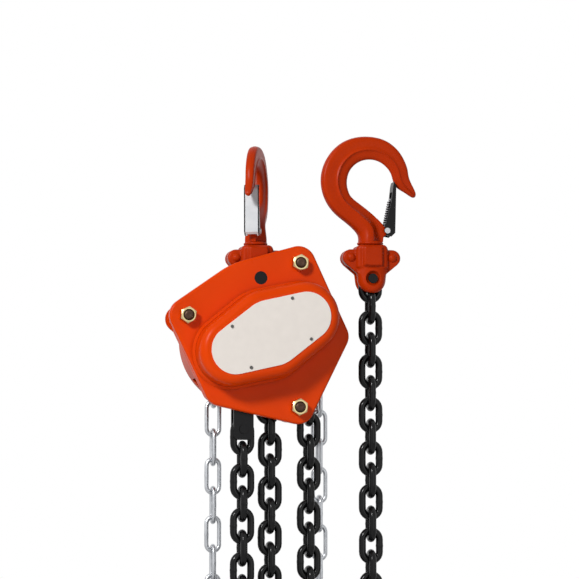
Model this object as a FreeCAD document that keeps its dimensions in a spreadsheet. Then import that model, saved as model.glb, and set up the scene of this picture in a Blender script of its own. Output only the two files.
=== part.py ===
import FreeCAD, Part
import math
import os
import re

import Sketcher
from FreeCAD import Placement, Rotation, Vector

# Half-tonne hand chain hoist with one fall of load chain and three metres of lift.
# Millimetres, +Z up. The origin is the seat inside the bowl of the top hook, where the hoist hangs.
# The body is drawn upright about the middle of its load sheave, front towards -Y, and then
# leans about its top pin, as it does when nothing hangs from the load chain.

# Driving sizes: alias, value, meaning
SIZES = (
    ("lean_angle", 25.6, "how far the idle body hangs off upright, degrees"),
    ("running_gap", 0.3, "space between pieces that pass each other"),
    ("fit_gap", 0.05, "radial space of a shaft in its bore"),
    ("overrun", 2, "how far a cut runs past what it cuts"),
    # side plates and the cover outline
    ("plate_gap", 24, "clear space between the side plates"),
    ("plate_thick", 3, "side plate thickness"),
    ("plate_inset", 2.6, "gear side plate edge inside the cover outline"),
    ("rear_inset", 4.8, "wheel side plate edge inside the cover outline"),
    ("upper_bolt_x", 43.1, "upper stay bolts, off the middle"),
    ("upper_bolt_z", 34.4, "upper stay bolts, above the sheave"),
    ("upper_corner", 12, "outline radius round an upper bolt"),
    ("crown_radius", 53, "outline radius over the top, about the sheave"),
    ("side_corner_x", 43, "side corners, off the middle"),
    ("side_corner_drop", 20.5, "side corners, below the sheave"),
    ("side_corner", 11.6, "outline radius at a side corner"),
    ("lower_bolt_drop", 54.2, "lower stay bolt, below the sheave"),
    ("lower_corner", 11.4, "outline radius round the lower bolt"),
    ("pin_x", 14.3, "top pin, off the middle"),
    ("pin_z", 36.4, "top pin, above the sheave"),
    ("pin_radius", 4.5, "top pin radius"),
    # stay bolts and nuts
    ("bolt_radius", 3.5, "stay bolt thread radius"),
    ("spacer_radius", 4, "stay bolt shoulder radius"),
    ("nut_corner", 5.9, "nut radius to a corner"),
    ("nut_face", 4.7, "radius of the flat on a nut's face"),
    ("nut_height", 5.5, "nut height"),
    ("nut_slope", 1.7, "run of a nut's chamfer over its rise"),
    ("bolt_end", 0.8, "bolt end past its nut"),
    # gear cover
    ("cover_sheet", 2, "gear cover sheet"),
    ("cover_flange", 3, "depth of the cover's turned edge"),
    ("cover_round", 1.6, "rounding of the cover's turned edge"),
    ("hump_x", 27.5, "middles of the hump's side lobes, off the middle"),
    ("hump_side", 23.6, "hump radius over a disc gear"),
    ("hump_middle", 30.2, "hump radius over the load gear"),
    ("hump_height", 20, "hump above the cover's face"),
    ("hump_wall", 1.8, "hump wall"),
    ("hump_round", 6, "rounding of the hump's rim"),
    ("hump_step", 2, "width and height of the step at the hump's foot"),
    ("hump_slope", 1.8, "chamfer on that step"),
    ("label_side", 16.4, "nameplate radius at its ends"),
    ("label_middle", 22.4, "nameplate radius in the middle"),
    ("label_sheet", 0.5, "nameplate thickness"),
    ("label_rivet_x", 23, "nameplate rivets, off the middle"),
    ("label_rivet_z", 15.2, "nameplate rivets, off the long axis"),
    ("label_rivet", 1.1, "nameplate rivet head radius"),
    # gears
    ("gear_module", 1.5, "pitch diameter over teeth"),
    ("gear_bore", 8, "load gear bore radius"),
    ("gear_width", 5.4, "width of a wheel"),
    ("pinion_width", 6.2, "width of a pinion"),
    ("gear_space", 0.6, "space beside a gear"),
    ("stub_radius", 4, "disc gear journal radius"),
    ("stub_length", 3, "disc gear journal past its gear"),
    # load sheave and chain
    ("wire", 5, "load chain wire"),
    ("pitch", 15, "load chain pitch"),
    ("link_width", 17, "load chain link across"),
    ("link_play", 0.5, "slack at a joint of the load chain"),
    ("sheave_width", 22, "sheave width over its flanges"),
    ("sheave_journal", 10, "sheave journal radius"),
    ("sheave_bore", 6.4, "sheave bore radius"),
    ("pocket_play", 0.9, "room round a link in its pocket"),
    ("bearing_radius", 15, "sheave bearing outer radius"),
    # drive shaft and brake
    ("shaft_radius", 5.5, "drive shaft radius"),
    ("shaft_nose", 4, "drive shaft radius in the cover"),
    ("hub_radius", 9, "brake hub sleeve radius"),
    ("hub_flange", 21, "brake hub flange radius"),
    ("hub_flange_thick", 3, "brake hub flange thickness"),
    ("hub_length", 12, "brake hub length behind its flange"),
    ("friction_radius", 20.5, "friction disc radius"),
    ("friction_thick", 2, "friction disc thickness"),
    ("ratchet_tip", 27, "ratchet wheel radius at the teeth"),
    ("ratchet_root", 23.5, "ratchet wheel radius at the roots"),
    ("ratchet_thick", 4, "ratchet wheel thickness"),
    ("pawl_pin_x", 22, "pawl pivots, off the middle"),
    ("pawl_pin_z", 30, "pawl pivots, above and below the shaft"),
    ("pawl_pin_radius", 2.5, "pawl pin radius"),
    ("pawl_eye", 4.8, "pawl radius round its pin"),
    ("pawl_nose", 2, "pawl radius at its nose"),
    ("spring_wire", 1, "pawl spring wire"),
    ("spring_leg", 5, "pawl spring leg"),
    # hand wheel and chain
    ("hand_wire", 3, "hand chain wire"),
    ("hand_pitch", 20, "hand chain pitch"),
    ("hand_link_width", 12, "hand chain link across"),
    ("wheel_width", 16, "hand wheel width"),
    ("wheel_hub", 14, "hand wheel hub radius"),
    ("wheel_rim", 28, "inside radius of the hand wheel's rim"),
    ("wheel_web", 5, "hand wheel web"),
    ("wheel_nut_corner", 9.9, "hand wheel nut radius to a corner"),
    ("wheel_cover_wall", 1.6, "hand wheel cover wall"),
    ("shaft_room", 3.9, "room behind the end of the drive shaft"),
    ("wheel_cover_round", 6, "rounding of the hand wheel cover"),
    ("wheel_cover_ear", 9, "cover radius round a stay bolt"),
    ("chain_window_in", 30, "inner edge of a hand chain window"),
    ("chain_window_drop", 8, "top of a hand chain window, below the shaft"),
    ("chain_window_width", 18, "hand chain window across"),
    # chain guides inside the body
    ("roller_x", 33, "guide rollers, off the middle"),
    ("roller_drop", 13, "guide rollers, below the sheave"),
    ("roller_radius", 4.6, "guide roller radius"),
    ("roller_pin", 2.2, "guide roller pin radius"),
    ("stripper_drop", 33, "stripper pin, below the sheave"),
    ("stripper_half", 6, "stripper heel, half across"),
    ("stripper_heel", 3, "stripper heel radius"),
    ("stripper_nose", 2, "stripper nose radius"),
    ("stripper_reach", 15, "stripper nose centre, below the sheave"),
    # tail anchor of the load chain
    ("anchor_x", 31, "tail anchor pin, off the middle"),
    ("anchor_drop", 33.5, "tail anchor pin, below the sheave"),
    ("anchor_pin", 2, "tail anchor pin radius"),
    ("anchor_length", 20.3, "between the tail anchor's pins"),
    ("anchor_width", 13.8, "tail anchor across"),
    ("anchor_foot", 7, "tail anchor past its lower pin"),
    ("anchor_sheet", 1.9, "tail anchor sheet"),
    ("anchor_corner", 2.8, "rounding of the tail anchor's corners"),
    ("anchor_head", 3, "tail anchor stud head radius"),
    ("anchor_depth", 7, "tail anchor, in front of the middle"),
    # yokes between a hook and what it holds
    ("yoke_half", 11.4, "yoke body, half across"),
    ("yoke_shoulder", 4, "yoke shoulder radius"),
    ("yoke_lug_x", 14.7, "yoke lugs, off the middle"),
    ("yoke_lug_drop", 9, "yoke lugs, below the yoke's top"),
    ("yoke_lug", 5.8, "yoke lug radius"),
    ("yoke_lug_thick", 6, "yoke lug thickness, each half"),
    ("yoke_pin_drop", 23.6, "yoke pin, below the yoke's top"),
    ("yoke_end", 10, "yoke radius round its pin"),
    ("yoke_depth", 11, "thickness of each yoke half"),
    ("yoke_round", 2.2, "rounding of a yoke's edges"),
    ("yoke_wall", 5, "yoke wall above the hook nut"),
    ("chain_pin", 3.3, "chain pin radius"),
    ("chain_pin_recess", 5, "recess radius round the chain pin"),
    ("chain_pin_set", 1.9, "chain pin ends below the yoke's faces"),
    ("yoke_rivet", 2, "yoke rivet radius"),
    ("rivet_head", 3.1, "yoke rivet head radius"),
    ("rivet_dome", 2, "yoke rivet head height"),
    # hooks
    ("top_bowl", 15, "top hook bowl radius"),
    ("bottom_bowl", 16.6, "bottom hook bowl radius"),
    ("hook_stem", 5.5, "hook stem radius inside the yoke"),
    ("hook_nut", 7.8, "hook nut radius"),
    ("hook_nut_height", 6, "hook nut height"),
    ("latch_sheet", 1.4, "latch sheet"),
    ("latch_boss_half", 1.8, "latch boss on the hook, half thickness"),
    ("latch_inside", 3.4, "half the space between a latch's cheeks"),
    ("latch_wire", 0.6, "latch spring wire"),
    ("latch_leg", 14, "latch spring leg along the latch"),
    ("latch_foot", 2.2, "latch spring leg towards the hook's neck"),
    ("latch_boss", 2.3, "latch boss radius"),
    ("latch_pin", 1.2, "latch pin radius"),
    ("latch_pin_head", 2, "latch pin head radius"),
    ("latch_pin_cap", 0.8, "latch pin head thickness"),
    ("yoke_top", 54.6, "top yoke's top, below the origin"),
    ("bottom_yoke_top", 52.3, "bottom yoke's top, below the origin"),
    ("bottom_hook_x", 81.7, "bottom hook, to the right of the origin"),
    ("top_hook_angle", 113, "top hook swivelled, degrees"),
    ("bottom_hook_angle", 2.1, "bottom hook swivelled, degrees"),
    # chain that hangs below the body
    ("strand_end", 296, "where hanging strands end, below the origin"),
    ("bundle_round", 6, "rounding of a tied bundle of chain"),
    ("load_bundle_x", 29, "load chain bundle, half across"),
    ("load_bundle_y", 24, "load chain bundle, half deep"),
    ("load_bundle_length", 240, "load chain bundle length"),
    ("load_bundle_left", 14, "load chain bundle, to the left of the middle of its strands"),
    ("load_bundle_front", 10, "load chain bundle, in front of its strands"),
    ("hand_bundle_x", 52, "hand chain bundle, half across"),
    ("hand_bundle_y", 15, "hand chain bundle, half deep"),
    ("hand_bundle_length", 110, "hand chain bundle length"),
    ("hand_bundle_left", 8, "hand chain bundle, to the left of the middle of its strands"),
)
PINION_TEETH = 10
WHEEL_TEETH = 26
SHEAVE_POCKETS = 4
WHEEL_POCKETS = 6
RATCHET_TEETH = 12
LOOP_LINKS = 5
LINK_SIDES = 6
COIL_STEPS = 8
WIRE_SIDES = 4
PAWL_COILS = 3
HALVINGS = 60
# Wires by which the sheave's rim stands out past the middle of a link that lies flat
SHEAVE_RIM_SHARE = 1.4
# Share of the hand chain link's width by which the wheel's rim stands out past the chain's pivots
WHEEL_RIM_SHARE = 0.2
# Share of a direction's length along Y from which it counts as running along Y
ALONG_SHARE = 0.9
# Cosine below which a mitre isn't drawn any longer
LEAST_MITRE_SHARE = 0.2
# Two places nearer than this are one, and four corners nearer than this to a plane lie in it
NEAR = 0.01
FLAT_WITHIN = 1e-7
VALUES = {name: value for name, value, note in SIZES}

doc = FreeCAD.newDocument("ChainHoist")
sheet = doc.addObject("Spreadsheet::Sheet", "Sizes")
for row, (name, value, note) in enumerate(SIZES, start=1):
    sheet.set(f"A{row}", name)
    sheet.set(f"B{row}", str(value))
    sheet.setAlias(f"B{row}", name)
    sheet.set(f"C{row}", note)
doc.recompute()


def amount(text):
    """Value of a sum of products of sizes, such as 'plate_gap/2 + plate_thick'."""
    total = 0
    for sign, term in re.findall(r"([+-]?)\s*([^+-]+)", text):
        product = 1
        for operator, factor in re.findall(r"([*/]?)\s*([\w.]+)", term):
            number = VALUES[factor] if factor in VALUES else float(factor)
            product = product / number if operator == "/" else product * number
        total += -product if sign == "-" else product
    return total


def bound(text):
    """The same sum as an expression that reads the spreadsheet."""
    return re.sub(r"[a-z_]+", lambda word: "Sizes." + word.group(0), text)


def tie(feature, **properties):
    for key, text in properties.items():
        feature.setExpression(key.replace("__", "."), bound(text))
    return feature


# Places that follow from the sizes
GEAR_CENTRES = amount("gear_module/2") * (PINION_TEETH + WHEEL_TEETH)
# Two neighbouring links turn about the middle of the wire of the one that lies flat on the sheave
SHEAVE_STEP = math.pi / SHEAVE_POCKETS
FLAT_CHORD = amount("pitch + link_play + wire")
STANDING_CHORD = amount("pitch*2") - FLAT_CHORD
BOTH_CHORDS = math.sqrt(FLAT_CHORD ** 2 + STANDING_CHORD ** 2
                        + 2 * FLAT_CHORD * STANDING_CHORD * math.cos(SHEAVE_STEP))
PIVOT_RADIUS = BOTH_CHORDS / 2 / math.sin(SHEAVE_STEP)
FLAT_RADIUS = math.sqrt(PIVOT_RADIUS ** 2 - FLAT_CHORD ** 2 / 4)
STANDING_RADIUS = math.sqrt(PIVOT_RADIUS ** 2 - STANDING_CHORD ** 2 / 4)
SHEAVE_RADIUS = f"{FLAT_RADIUS} + wire*{SHEAVE_RIM_SHARE}"
WHEEL_STEP = math.pi / WHEEL_POCKETS
WHEEL_PITCH_RADIUS = amount("hand_pitch/2") / math.sin(WHEEL_STEP / 2)
WHEEL_RADIUS = f"{WHEEL_PITCH_RADIUS} + hand_link_width*{WHEEL_RIM_SHARE}"
COVER_INSIDE = f"{WHEEL_PITCH_RADIUS} + hand_link_width/2 + running_gap"
COVER_OUTSIDE = COVER_INSIDE + " + wheel_cover_wall"
UPRIGHT = Placement()
LEAN_TURN = Rotation(Vector(0, 1, 0), -amount("lean_angle"))
TOP_PIN = Vector(0, 0, -amount("yoke_top + yoke_pin_drop"))
LEAN = Placement(TOP_PIN - LEAN_TURN.multVec(Vector(amount("pin_x"), 0, amount("pin_z"))), LEAN_TURN)
# Stations along Y, counted towards the front from the middle of the sheave
PLATE_FACE = "plate_gap/2 + plate_thick"
COVER_FACE = PLATE_FACE + " + cover_sheet"
WHEEL_BACK = PLATE_FACE + " + gear_space*2 + hub_flange_thick + friction_thick*2 + ratchet_thick"
WHEEL_MIDDLE = WHEEL_BACK + " + wheel_width/2"
SHAFT_END = WHEEL_BACK + " + wheel_width + nut_height + bolt_end"
COVER_REAR = SHAFT_END + " + shaft_room + wheel_cover_wall"
COVER_DEPTH = COVER_REAR + " - plate_gap/2 - plate_thick"
NUT_SEAT = PLATE_FACE + " + wheel_cover_wall"
HAND_Y = amount(WHEEL_MIDDLE)
parts = []


def keep(feature, name, placement=UPRIGHT):
    """Names a finished sub-part and sets it in its place."""
    if any(path.lstrip(".").startswith("Placement") for path, text in feature.ExpressionEngine):
        feature = group(feature.Name + "Set", feature)
    feature.Label = name
    feature.Placement = placement.multiply(feature.Placement)
    parts.append(feature)
    return feature


def negative(text):
    """The same sum with every sign turned."""
    turned = text.replace("+", "#").replace("-", "+").replace("#", "-")
    return turned if turned[0] in "+-" else "-" + turned


def disc(name, radius, front, length, x="0", z="0"):
    """Cylinder along Y whose rear face is at the station front."""
    shape = doc.addObject("Part::Cylinder", name)
    shape.Placement = Placement(Vector(), Rotation(Vector(1, 0, 0), 90))
    tie(shape, Radius=radius, Height=length)
    tie(shape, Placement__Base__x=x, Placement__Base__y=negative(front), Placement__Base__z=z)
    return shape


def fuse(name, *shapes):
    joined = doc.addObject("Part::MultiFuse", name)
    joined.Shapes = list(shapes)
    return joined


def cut(name, base, *tools):
    for number, tool in enumerate(tools):
        result = doc.addObject("Part::Cut", f"{name}{number}")
        result.Base = base
        result.Tool = tool
        base = result
    return base


def group(name, *shapes):
    gathered = doc.addObject("Part::Compound", name)
    gathered.Links = list(shapes)
    return gathered


def made(name, shape, placement=UPRIGHT):
    """Sub-part whose shape is worked out in code from the sheet's sizes."""
    feature = doc.addObject("Part::Feature", name.title().replace("_", ""))
    feature.Shape = shape
    return keep(feature, name, placement)


def wrap_lines(circles):
    """Tangent lines of the outline round circles that are listed anticlockwise."""
    lines = []
    for (ax, ay, ar), (bx, by, br) in zip(circles, circles[1:] + circles[:1]):
        length = math.hypot(bx - ax, by - ay)
        along_x, along_y = (bx - ax) / length, (by - ay) / length
        tilt = (ar - br) / length
        square = math.sqrt(1 - tilt * tilt)
        out_x = along_x * tilt + along_y * square
        out_y = along_y * tilt - along_x * square
        lines.append((Vector(ax + ar * out_x, ay + ar * out_y), Vector(bx + br * out_x, by + br * out_y)))
    return lines


def flat_outline(circles):
    """Face on the middle plane pulled tight round circles given as numbers."""
    flat = [Vector(p.x, 0, p.y) for line in wrap_lines(circles) for p in line]
    edges = []
    for place, (x, z, radius) in enumerate(circles):
        start, end = flat[2 * place - 1], flat[2 * place]
        turn = math.atan2(start.z - z, start.x - x)
        sweep = (math.atan2(end.z - z, end.x - x) - turn) % math.tau
        middle = Vector(x + radius * math.cos(turn + sweep / 2), 0, z + radius * math.sin(turn + sweep / 2))
        edges.append(Part.Arc(start, middle, end).toShape())
        edges.append(Part.LineSegment(end, flat[2 * place + 1]).toShape())
    return Part.Face(Part.Wire(edges))


def sketch_on(body, name, plane, offset):
    """Sketch on one of the body's own planes, moved along its normal."""
    sketch = body.newObject("Sketcher::SketchObject", name)
    base = [item for item in body.Origin.OriginFeatures if item.Role == plane][0]
    sketch.AttachmentSupport = [(base, "")]
    sketch.MapMode = "FlatFace"
    return tie(sketch, AttachmentOffset__Base__z=offset)


def pin_down(sketch, curve, x, y, radius):
    """Sets the centre and radius of a circle or arc from sums of sizes."""
    for kind, text in (("DistanceX", x), ("DistanceY", y), ("Radius", radius)):
        if kind == "Radius":
            rule = Sketcher.Constraint(kind, curve, amount(text))
        else:
            rule = Sketcher.Constraint(kind, -1, 1, curve, 3, amount(text))
        place = sketch.addConstraint(rule)
        sketch.setExpression(f"Constraints[{place}]", bound(text))


def outline_sketch(body, name, plane, offset, circles, holes=()):
    """Outline pulled tight round circles, with round holes, all tied to the sheet."""
    sketch = sketch_on(body, name, plane, offset)
    numbers = [tuple(amount(text) for text in circle) for circle in circles]
    lines = wrap_lines(numbers)
    arcs, sides = [], []
    for place, (x, y, radius) in enumerate(numbers):
        start, end = lines[place - 1][1], lines[place][0]
        first = math.atan2(start.y - y, start.x - x)
        last = math.atan2(end.y - y, end.x - x)
        last += math.tau if last < first else 0
        round_part = Part.Circle(Vector(x, y), Vector(0, 0, 1), radius)
        arcs.append(sketch.addGeometry(Part.ArcOfCircle(round_part, first, last)))
        sides.append(sketch.addGeometry(Part.LineSegment(*lines[place])))
    for place, circle in enumerate(circles):
        following = arcs[(place + 1) % len(arcs)]
        sketch.addConstraint(Sketcher.Constraint("Tangent", arcs[place], 2, sides[place], 1))
        sketch.addConstraint(Sketcher.Constraint("Tangent", sides[place], 2, following, 1))
        pin_down(sketch, arcs[place], *circle)
    for hole in holes:
        x, y, radius = (amount(text) for text in hole)
        curve = sketch.addGeometry(Part.Circle(Vector(x, y), Vector(0, 0, 1), radius))
        pin_down(sketch, curve, *hole)
    return sketch


def new_body(name):
    return doc.addObject("PartDesign::Body", name)


def pad(body, sketch, length, **options):
    feature = body.newObject("PartDesign::Pad", sketch.Name + "Pad")
    feature.Profile = sketch
    tie(feature, Length=length)
    for key, value in options.items():
        setattr(feature, key, value)
    return feature


def pocket(body, sketch, length, **options):
    feature = body.newObject("PartDesign::Pocket", sketch.Name + "Pocket")
    feature.Profile = sketch
    tie(feature, Length=length)
    for key, value in options.items():
        setattr(feature, key, value)
    return feature


def edges_at(shape, station):
    """Names of the edges that lie flat at one station along Y."""
    found = []
    for number, edge in enumerate(shape.Edges, start=1):
        box = edge.BoundBox
        if abs(box.YMin + station) < NEAR and abs(box.YMax + station) < NEAR:
            found.append(f"Edge{number}")
    return found


def soften(body, name, base, station, radius):
    """Rounds the edges of a body that lie flat at one station, counted to the rear."""
    doc.recompute()
    rounding = body.newObject("PartDesign::Fillet", name)
    rounding.Base = (base, edges_at(base.Shape, -amount(station)))
    return tie(rounding, Radius=radius)


def shield(inset="0"):
    """Circles of the side plate outline, drawn in by inset."""
    return [
        ("upper_bolt_x", "upper_bolt_z", f"upper_corner - {inset}"),
        ("0", "0", f"crown_radius - {inset}"),
        ("-upper_bolt_x", "upper_bolt_z", f"upper_corner - {inset}"),
        ("-side_corner_x", "-side_corner_drop", f"side_corner - {inset}"),
        ("0", "-lower_bolt_drop", f"lower_corner - {inset}"),
        ("side_corner_x", "-side_corner_drop", f"side_corner - {inset}"),
    ]


BOLTS = (("upper_bolt_x", "upper_bolt_z"), ("-upper_bolt_x", "upper_bolt_z"), ("0", "-lower_bolt_drop"))
PAWL_PINS = (("pawl_pin_x", "pawl_pin_z"), ("-pawl_pin_x", "-pawl_pin_z"))
ROLLERS = (("roller_x", "-roller_drop"), ("-roller_x", "-roller_drop"))
GEAR_X = str(GEAR_CENTRES)


def bolt_holes():
    return [(x, z, "bolt_radius + fit_gap") for x, z in BOLTS]


def pin_holes():
    """Holes that both side plates have for what spans between them."""
    holes = [("pin_x", "pin_z", "pin_radius + fit_gap"), ("0", "0", "bearing_radius + fit_gap")]
    holes += [(x, z, "roller_pin + fit_gap") for x, z in ROLLERS]
    holes.append(("0", "-stripper_drop", "roller_pin + fit_gap"))
    holes.append(("-anchor_x", "-anchor_drop", "anchor_pin + fit_gap"))
    return holes


def side_plates():
    front = new_body("GearSidePlate")
    stubs = [(x, "0", "stub_radius + fit_gap") for x in (GEAR_X, "-" + GEAR_X)]
    holes = bolt_holes() + pin_holes() + stubs
    inset = shield("plate_inset")
    outline = outline_sketch(front, "GearPlateOutline", "XZ_Plane", "plate_gap/2", inset, holes)
    pad(front, outline, "plate_thick")
    keep(front, "gear_side_plate", LEAN)
    rear = new_body("WheelSidePlate")
    holes = bolt_holes() + pin_holes() + [(x, z, "pawl_pin_radius + fit_gap") for x, z in PAWL_PINS]
    inset = shield("rear_inset")
    outline = outline_sketch(rear, "WheelPlateOutline", "XZ_Plane", negative(PLATE_FACE), inset, holes)
    pad(rear, outline, "plate_thick")
    keep(rear, "wheel_side_plate", LEAN)


def stay_bolts():
    bolts = []
    front_end = COVER_FACE + " + nut_height + bolt_end"
    rear_end = NUT_SEAT + " + nut_height + bolt_end"
    for number, (x, z) in enumerate(BOLTS):
        span = front_end + " + " + rear_end
        thread = disc(f"Thread{number}", "bolt_radius", negative(rear_end), span, x, z)
        spacer = disc(f"Spacer{number}", "spacer_radius", "-plate_gap/2", "plate_gap", x, z)
        bolts.append(fuse(f"StayBolt{number}", thread, spacer))
    keep(group("StayBolts", *bolts), "stay_bolts", LEAN)


def nut(name, seat, x, z, towards=1):
    """Hexagon nut with one chamfered face, seated at a station and facing front or rear."""
    block = doc.addObject("Part::Prism", name + "Block")
    block.Polygon = 6
    tie(block, Circumradius="nut_corner", Height="nut_height")
    slope = doc.addObject("Part::Cone", name + "Slope")
    tie(slope, Radius1="nut_face + nut_height*nut_slope", Radius2="nut_face", Height="nut_height")
    common = doc.addObject("Part::MultiCommon", name + "Common")
    common.Shapes = [block, slope]
    bore = doc.addObject("Part::Cylinder", name + "Bore")
    tie(bore, Radius="bolt_radius + fit_gap", Height="nut_height")
    shape = cut(name, common, bore)
    shape.Placement = Placement(Vector(), Rotation(Vector(1, 0, 0), 90 * towards))
    station = negative(seat) if towards > 0 else seat
    return tie(shape, Placement__Base__x=x, Placement__Base__y=station, Placement__Base__z=z)


def nuts():
    front = [nut(f"FrontNut{n}", COVER_FACE, x, z) for n, (x, z) in enumerate(BOLTS)]
    keep(group("FrontNuts", *front), "front_nuts", LEAN)
    rear = [nut(f"RearNut{n}", NUT_SEAT, x, z, -1) for n, (x, z) in enumerate(BOLTS)]
    keep(group("RearNuts", *rear), "rear_nuts", LEAN)


def lobes(side, middle):
    """Circles of the three-lobed outline over the gears."""
    return [("hump_x", "0", side), ("0", "0", middle), ("-hump_x", "0", side), ("0", "0", middle)]


def lobe_sketch(body, name, offset, side, middle):
    return outline_sketch(body, name, "XZ_Plane", offset, lobes(side, middle))


def gear_cover():
    body = new_body("GearCover")
    skirt = "cover_flange + cover_sheet"
    holes = bolt_holes() + [("pin_x", "pin_z", "pin_radius + fit_gap")]
    outline = outline_sketch(body, "CoverOutline", "XZ_Plane", COVER_FACE, shield(), holes)
    sheet_pad = pad(body, outline, skirt, Reversed=True)
    doc.recompute()
    rim = body.newObject("PartDesign::Fillet", "CoverRim")
    rim.Base = (sheet_pad, cover_rim_edges(sheet_pad.Shape))
    tie(rim, Radius="cover_round")
    inner = outline_sketch(body, "CoverInside", "XZ_Plane", PLATE_FACE, shield("cover_sheet"))
    pocket(body, inner, "cover_flange")
    step = lobe_sketch(body, "HumpFoot", PLATE_FACE, "hump_side + hump_step", "hump_middle + hump_step")
    pad(body, step, "cover_sheet + hump_step")
    dome = lobe_sketch(body, "HumpTop", PLATE_FACE, "hump_side", "hump_middle")
    top = pad(body, dome, "cover_sheet + hump_height")
    doc.recompute()
    lip = body.newObject("PartDesign::Fillet", "HumpRim")
    lip.Base = (top, edges_at(top.Shape, amount(COVER_FACE + " + hump_height")))
    tie(lip, Radius="hump_round")
    foot = body.newObject("PartDesign::Chamfer", "HumpSlope")
    doc.recompute()
    foot.Base = (lip, step_edges(lip.Shape))
    tie(foot, Size="hump_slope")
    hollow = lobe_sketch(body, "HumpInside", PLATE_FACE, "hump_side - hump_wall", "hump_middle - hump_wall")
    dug = pocket(body, hollow, "cover_sheet + hump_height - hump_wall", Reversed=True)
    ceiling = negative(COVER_FACE + " + hump_height - hump_wall")
    soften(body, "HumpCeiling", dug, ceiling, "hump_round - hump_wall")
    body.Tip = body.Group[-1]
    keep(body, "gear_cover", LEAN)


def cover_rim_edges(shape):
    """Front edges of the cover's outline, without those of its holes."""
    station = amount(COVER_FACE)
    found = []
    for name in edges_at(shape, station):
        edge = shape.getElement(name)
        if not (edge.Closed and edge.Length < math.tau * amount("upper_corner")):
            found.append(name)
    return found


def step_edges(shape):
    """Upper outer edges of the step at the hump's foot."""
    station = amount(COVER_FACE + " + hump_step")
    reach = amount("hump_middle + hump_step/2")
    found = []
    for name in edges_at(shape, station):
        box = shape.getElement(name).BoundBox
        across = max(abs(box.ZMin), abs(box.ZMax))
        along = max(abs(box.XMin), abs(box.XMax))
        if across > reach or along > amount("hump_x + hump_side + hump_step/2"):
            found.append(name)
    return found


def nameplate():
    body = new_body("Nameplate")
    face = COVER_FACE + " + hump_height"
    outline = lobe_sketch(body, "PlateOutline", face, "label_side", "label_middle")
    pad(body, outline, "label_sheet")
    keep(body, "nameplate", LEAN)
    heads = []
    for number, (side, level) in enumerate(((1, 1), (-1, 1), (-1, -1), (1, -1))):
        x = "label_rivet_x" if side > 0 else "-label_rivet_x"
        z = "label_rivet_z" if level > 0 else "-label_rivet_z"
        heads.append(disc(f"LabelRivet{number}", "label_rivet", face + " + label_sheet", "label_sheet", x, z))
    keep(group("LabelRivets", *heads), "nameplate_rivets", LEAN)


def toothed(teeth, turn=0):
    """Gear outline with straight flanks, thin enough to run free of its mate."""
    # Shares of one tooth space at the root, pitch line and tip, and of the module for the heights
    shares = ((-0.30, -1.2), (-0.19, 0.0), (-0.09, 0.95), (0.09, 0.95), (0.19, 0.0), (0.30, -1.2))
    module = amount("gear_module")
    points = []
    for tooth in range(teeth):
        for share, height in shares:
            angle = math.tau * (tooth + share + turn) / teeth
            radius = module * (teeth / 2 + height)
            points.append(Vector(radius * math.cos(angle), 0, radius * math.sin(angle)))
    return Part.Face(Part.makePolygon(points + points[:1]))


def slab(face, front, thickness):
    """Face drawn on the middle plane, made solid from the station front forwards."""
    solid = face.extrude(Vector(0, -thickness, 0))
    solid.translate(Vector(0, -front, 0))
    return solid


def rod(radius, front, length, x=0, z=0):
    return Part.makeCylinder(radius, length, Vector(x, -front, z), Vector(0, -1, 0))


def gears():
    """Load gear, both disc gears and the drive shaft, with their teeth in mesh at rest."""
    low = amount(PLATE_FACE + " + gear_space")
    high = amount(PLATE_FACE + " + gear_space*2 + pinion_width")
    width, pinion = amount("gear_width"), amount("pinion_width")
    wheel = slab(toothed(WHEEL_TEETH), low, width)
    made("load_gear", wheel.cut(rod(amount("gear_bore"), low - width, width * 3)), LEAN)
    for side, name in ((-1, "disc_gear_left"), (1, "disc_gear_right")):
        # A tooth of one gear stands in a space of its mate on the line of centres
        outer = slab(toothed(WHEEL_TEETH, WHEEL_TEETH / 2 * (side > 0) + 0.5), high, width)
        inner = slab(toothed(PINION_TEETH, PINION_TEETH / 2 * (side > 0) + 0.5), low, high - low)
        body = outer.fuse(inner)
        stub, past = amount("stub_radius"), amount("stub_length")
        body = body.fuse(rod(stub, low - past, high + width - low + past * 2))
        body.translate(Vector(side * GEAR_CENTRES, 0, 0))
        made(name, body, LEAN)
    rear = amount(SHAFT_END)
    front = high + width + amount("stub_length")
    shaft = rod(amount("shaft_radius"), -rear, rear + high)
    shaft = shaft.fuse(rod(amount("shaft_nose"), high, front - high))
    made("drive_shaft", shaft.fuse(slab(toothed(PINION_TEETH), high, width)), LEAN)


def ring(name, outer, inner, front, length, x="0", z="0"):
    rim = disc(name + "Rim", outer, front, length, x, z)
    return cut(name, rim, disc(name + "Hole", inner, front, length, x, z))


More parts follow.
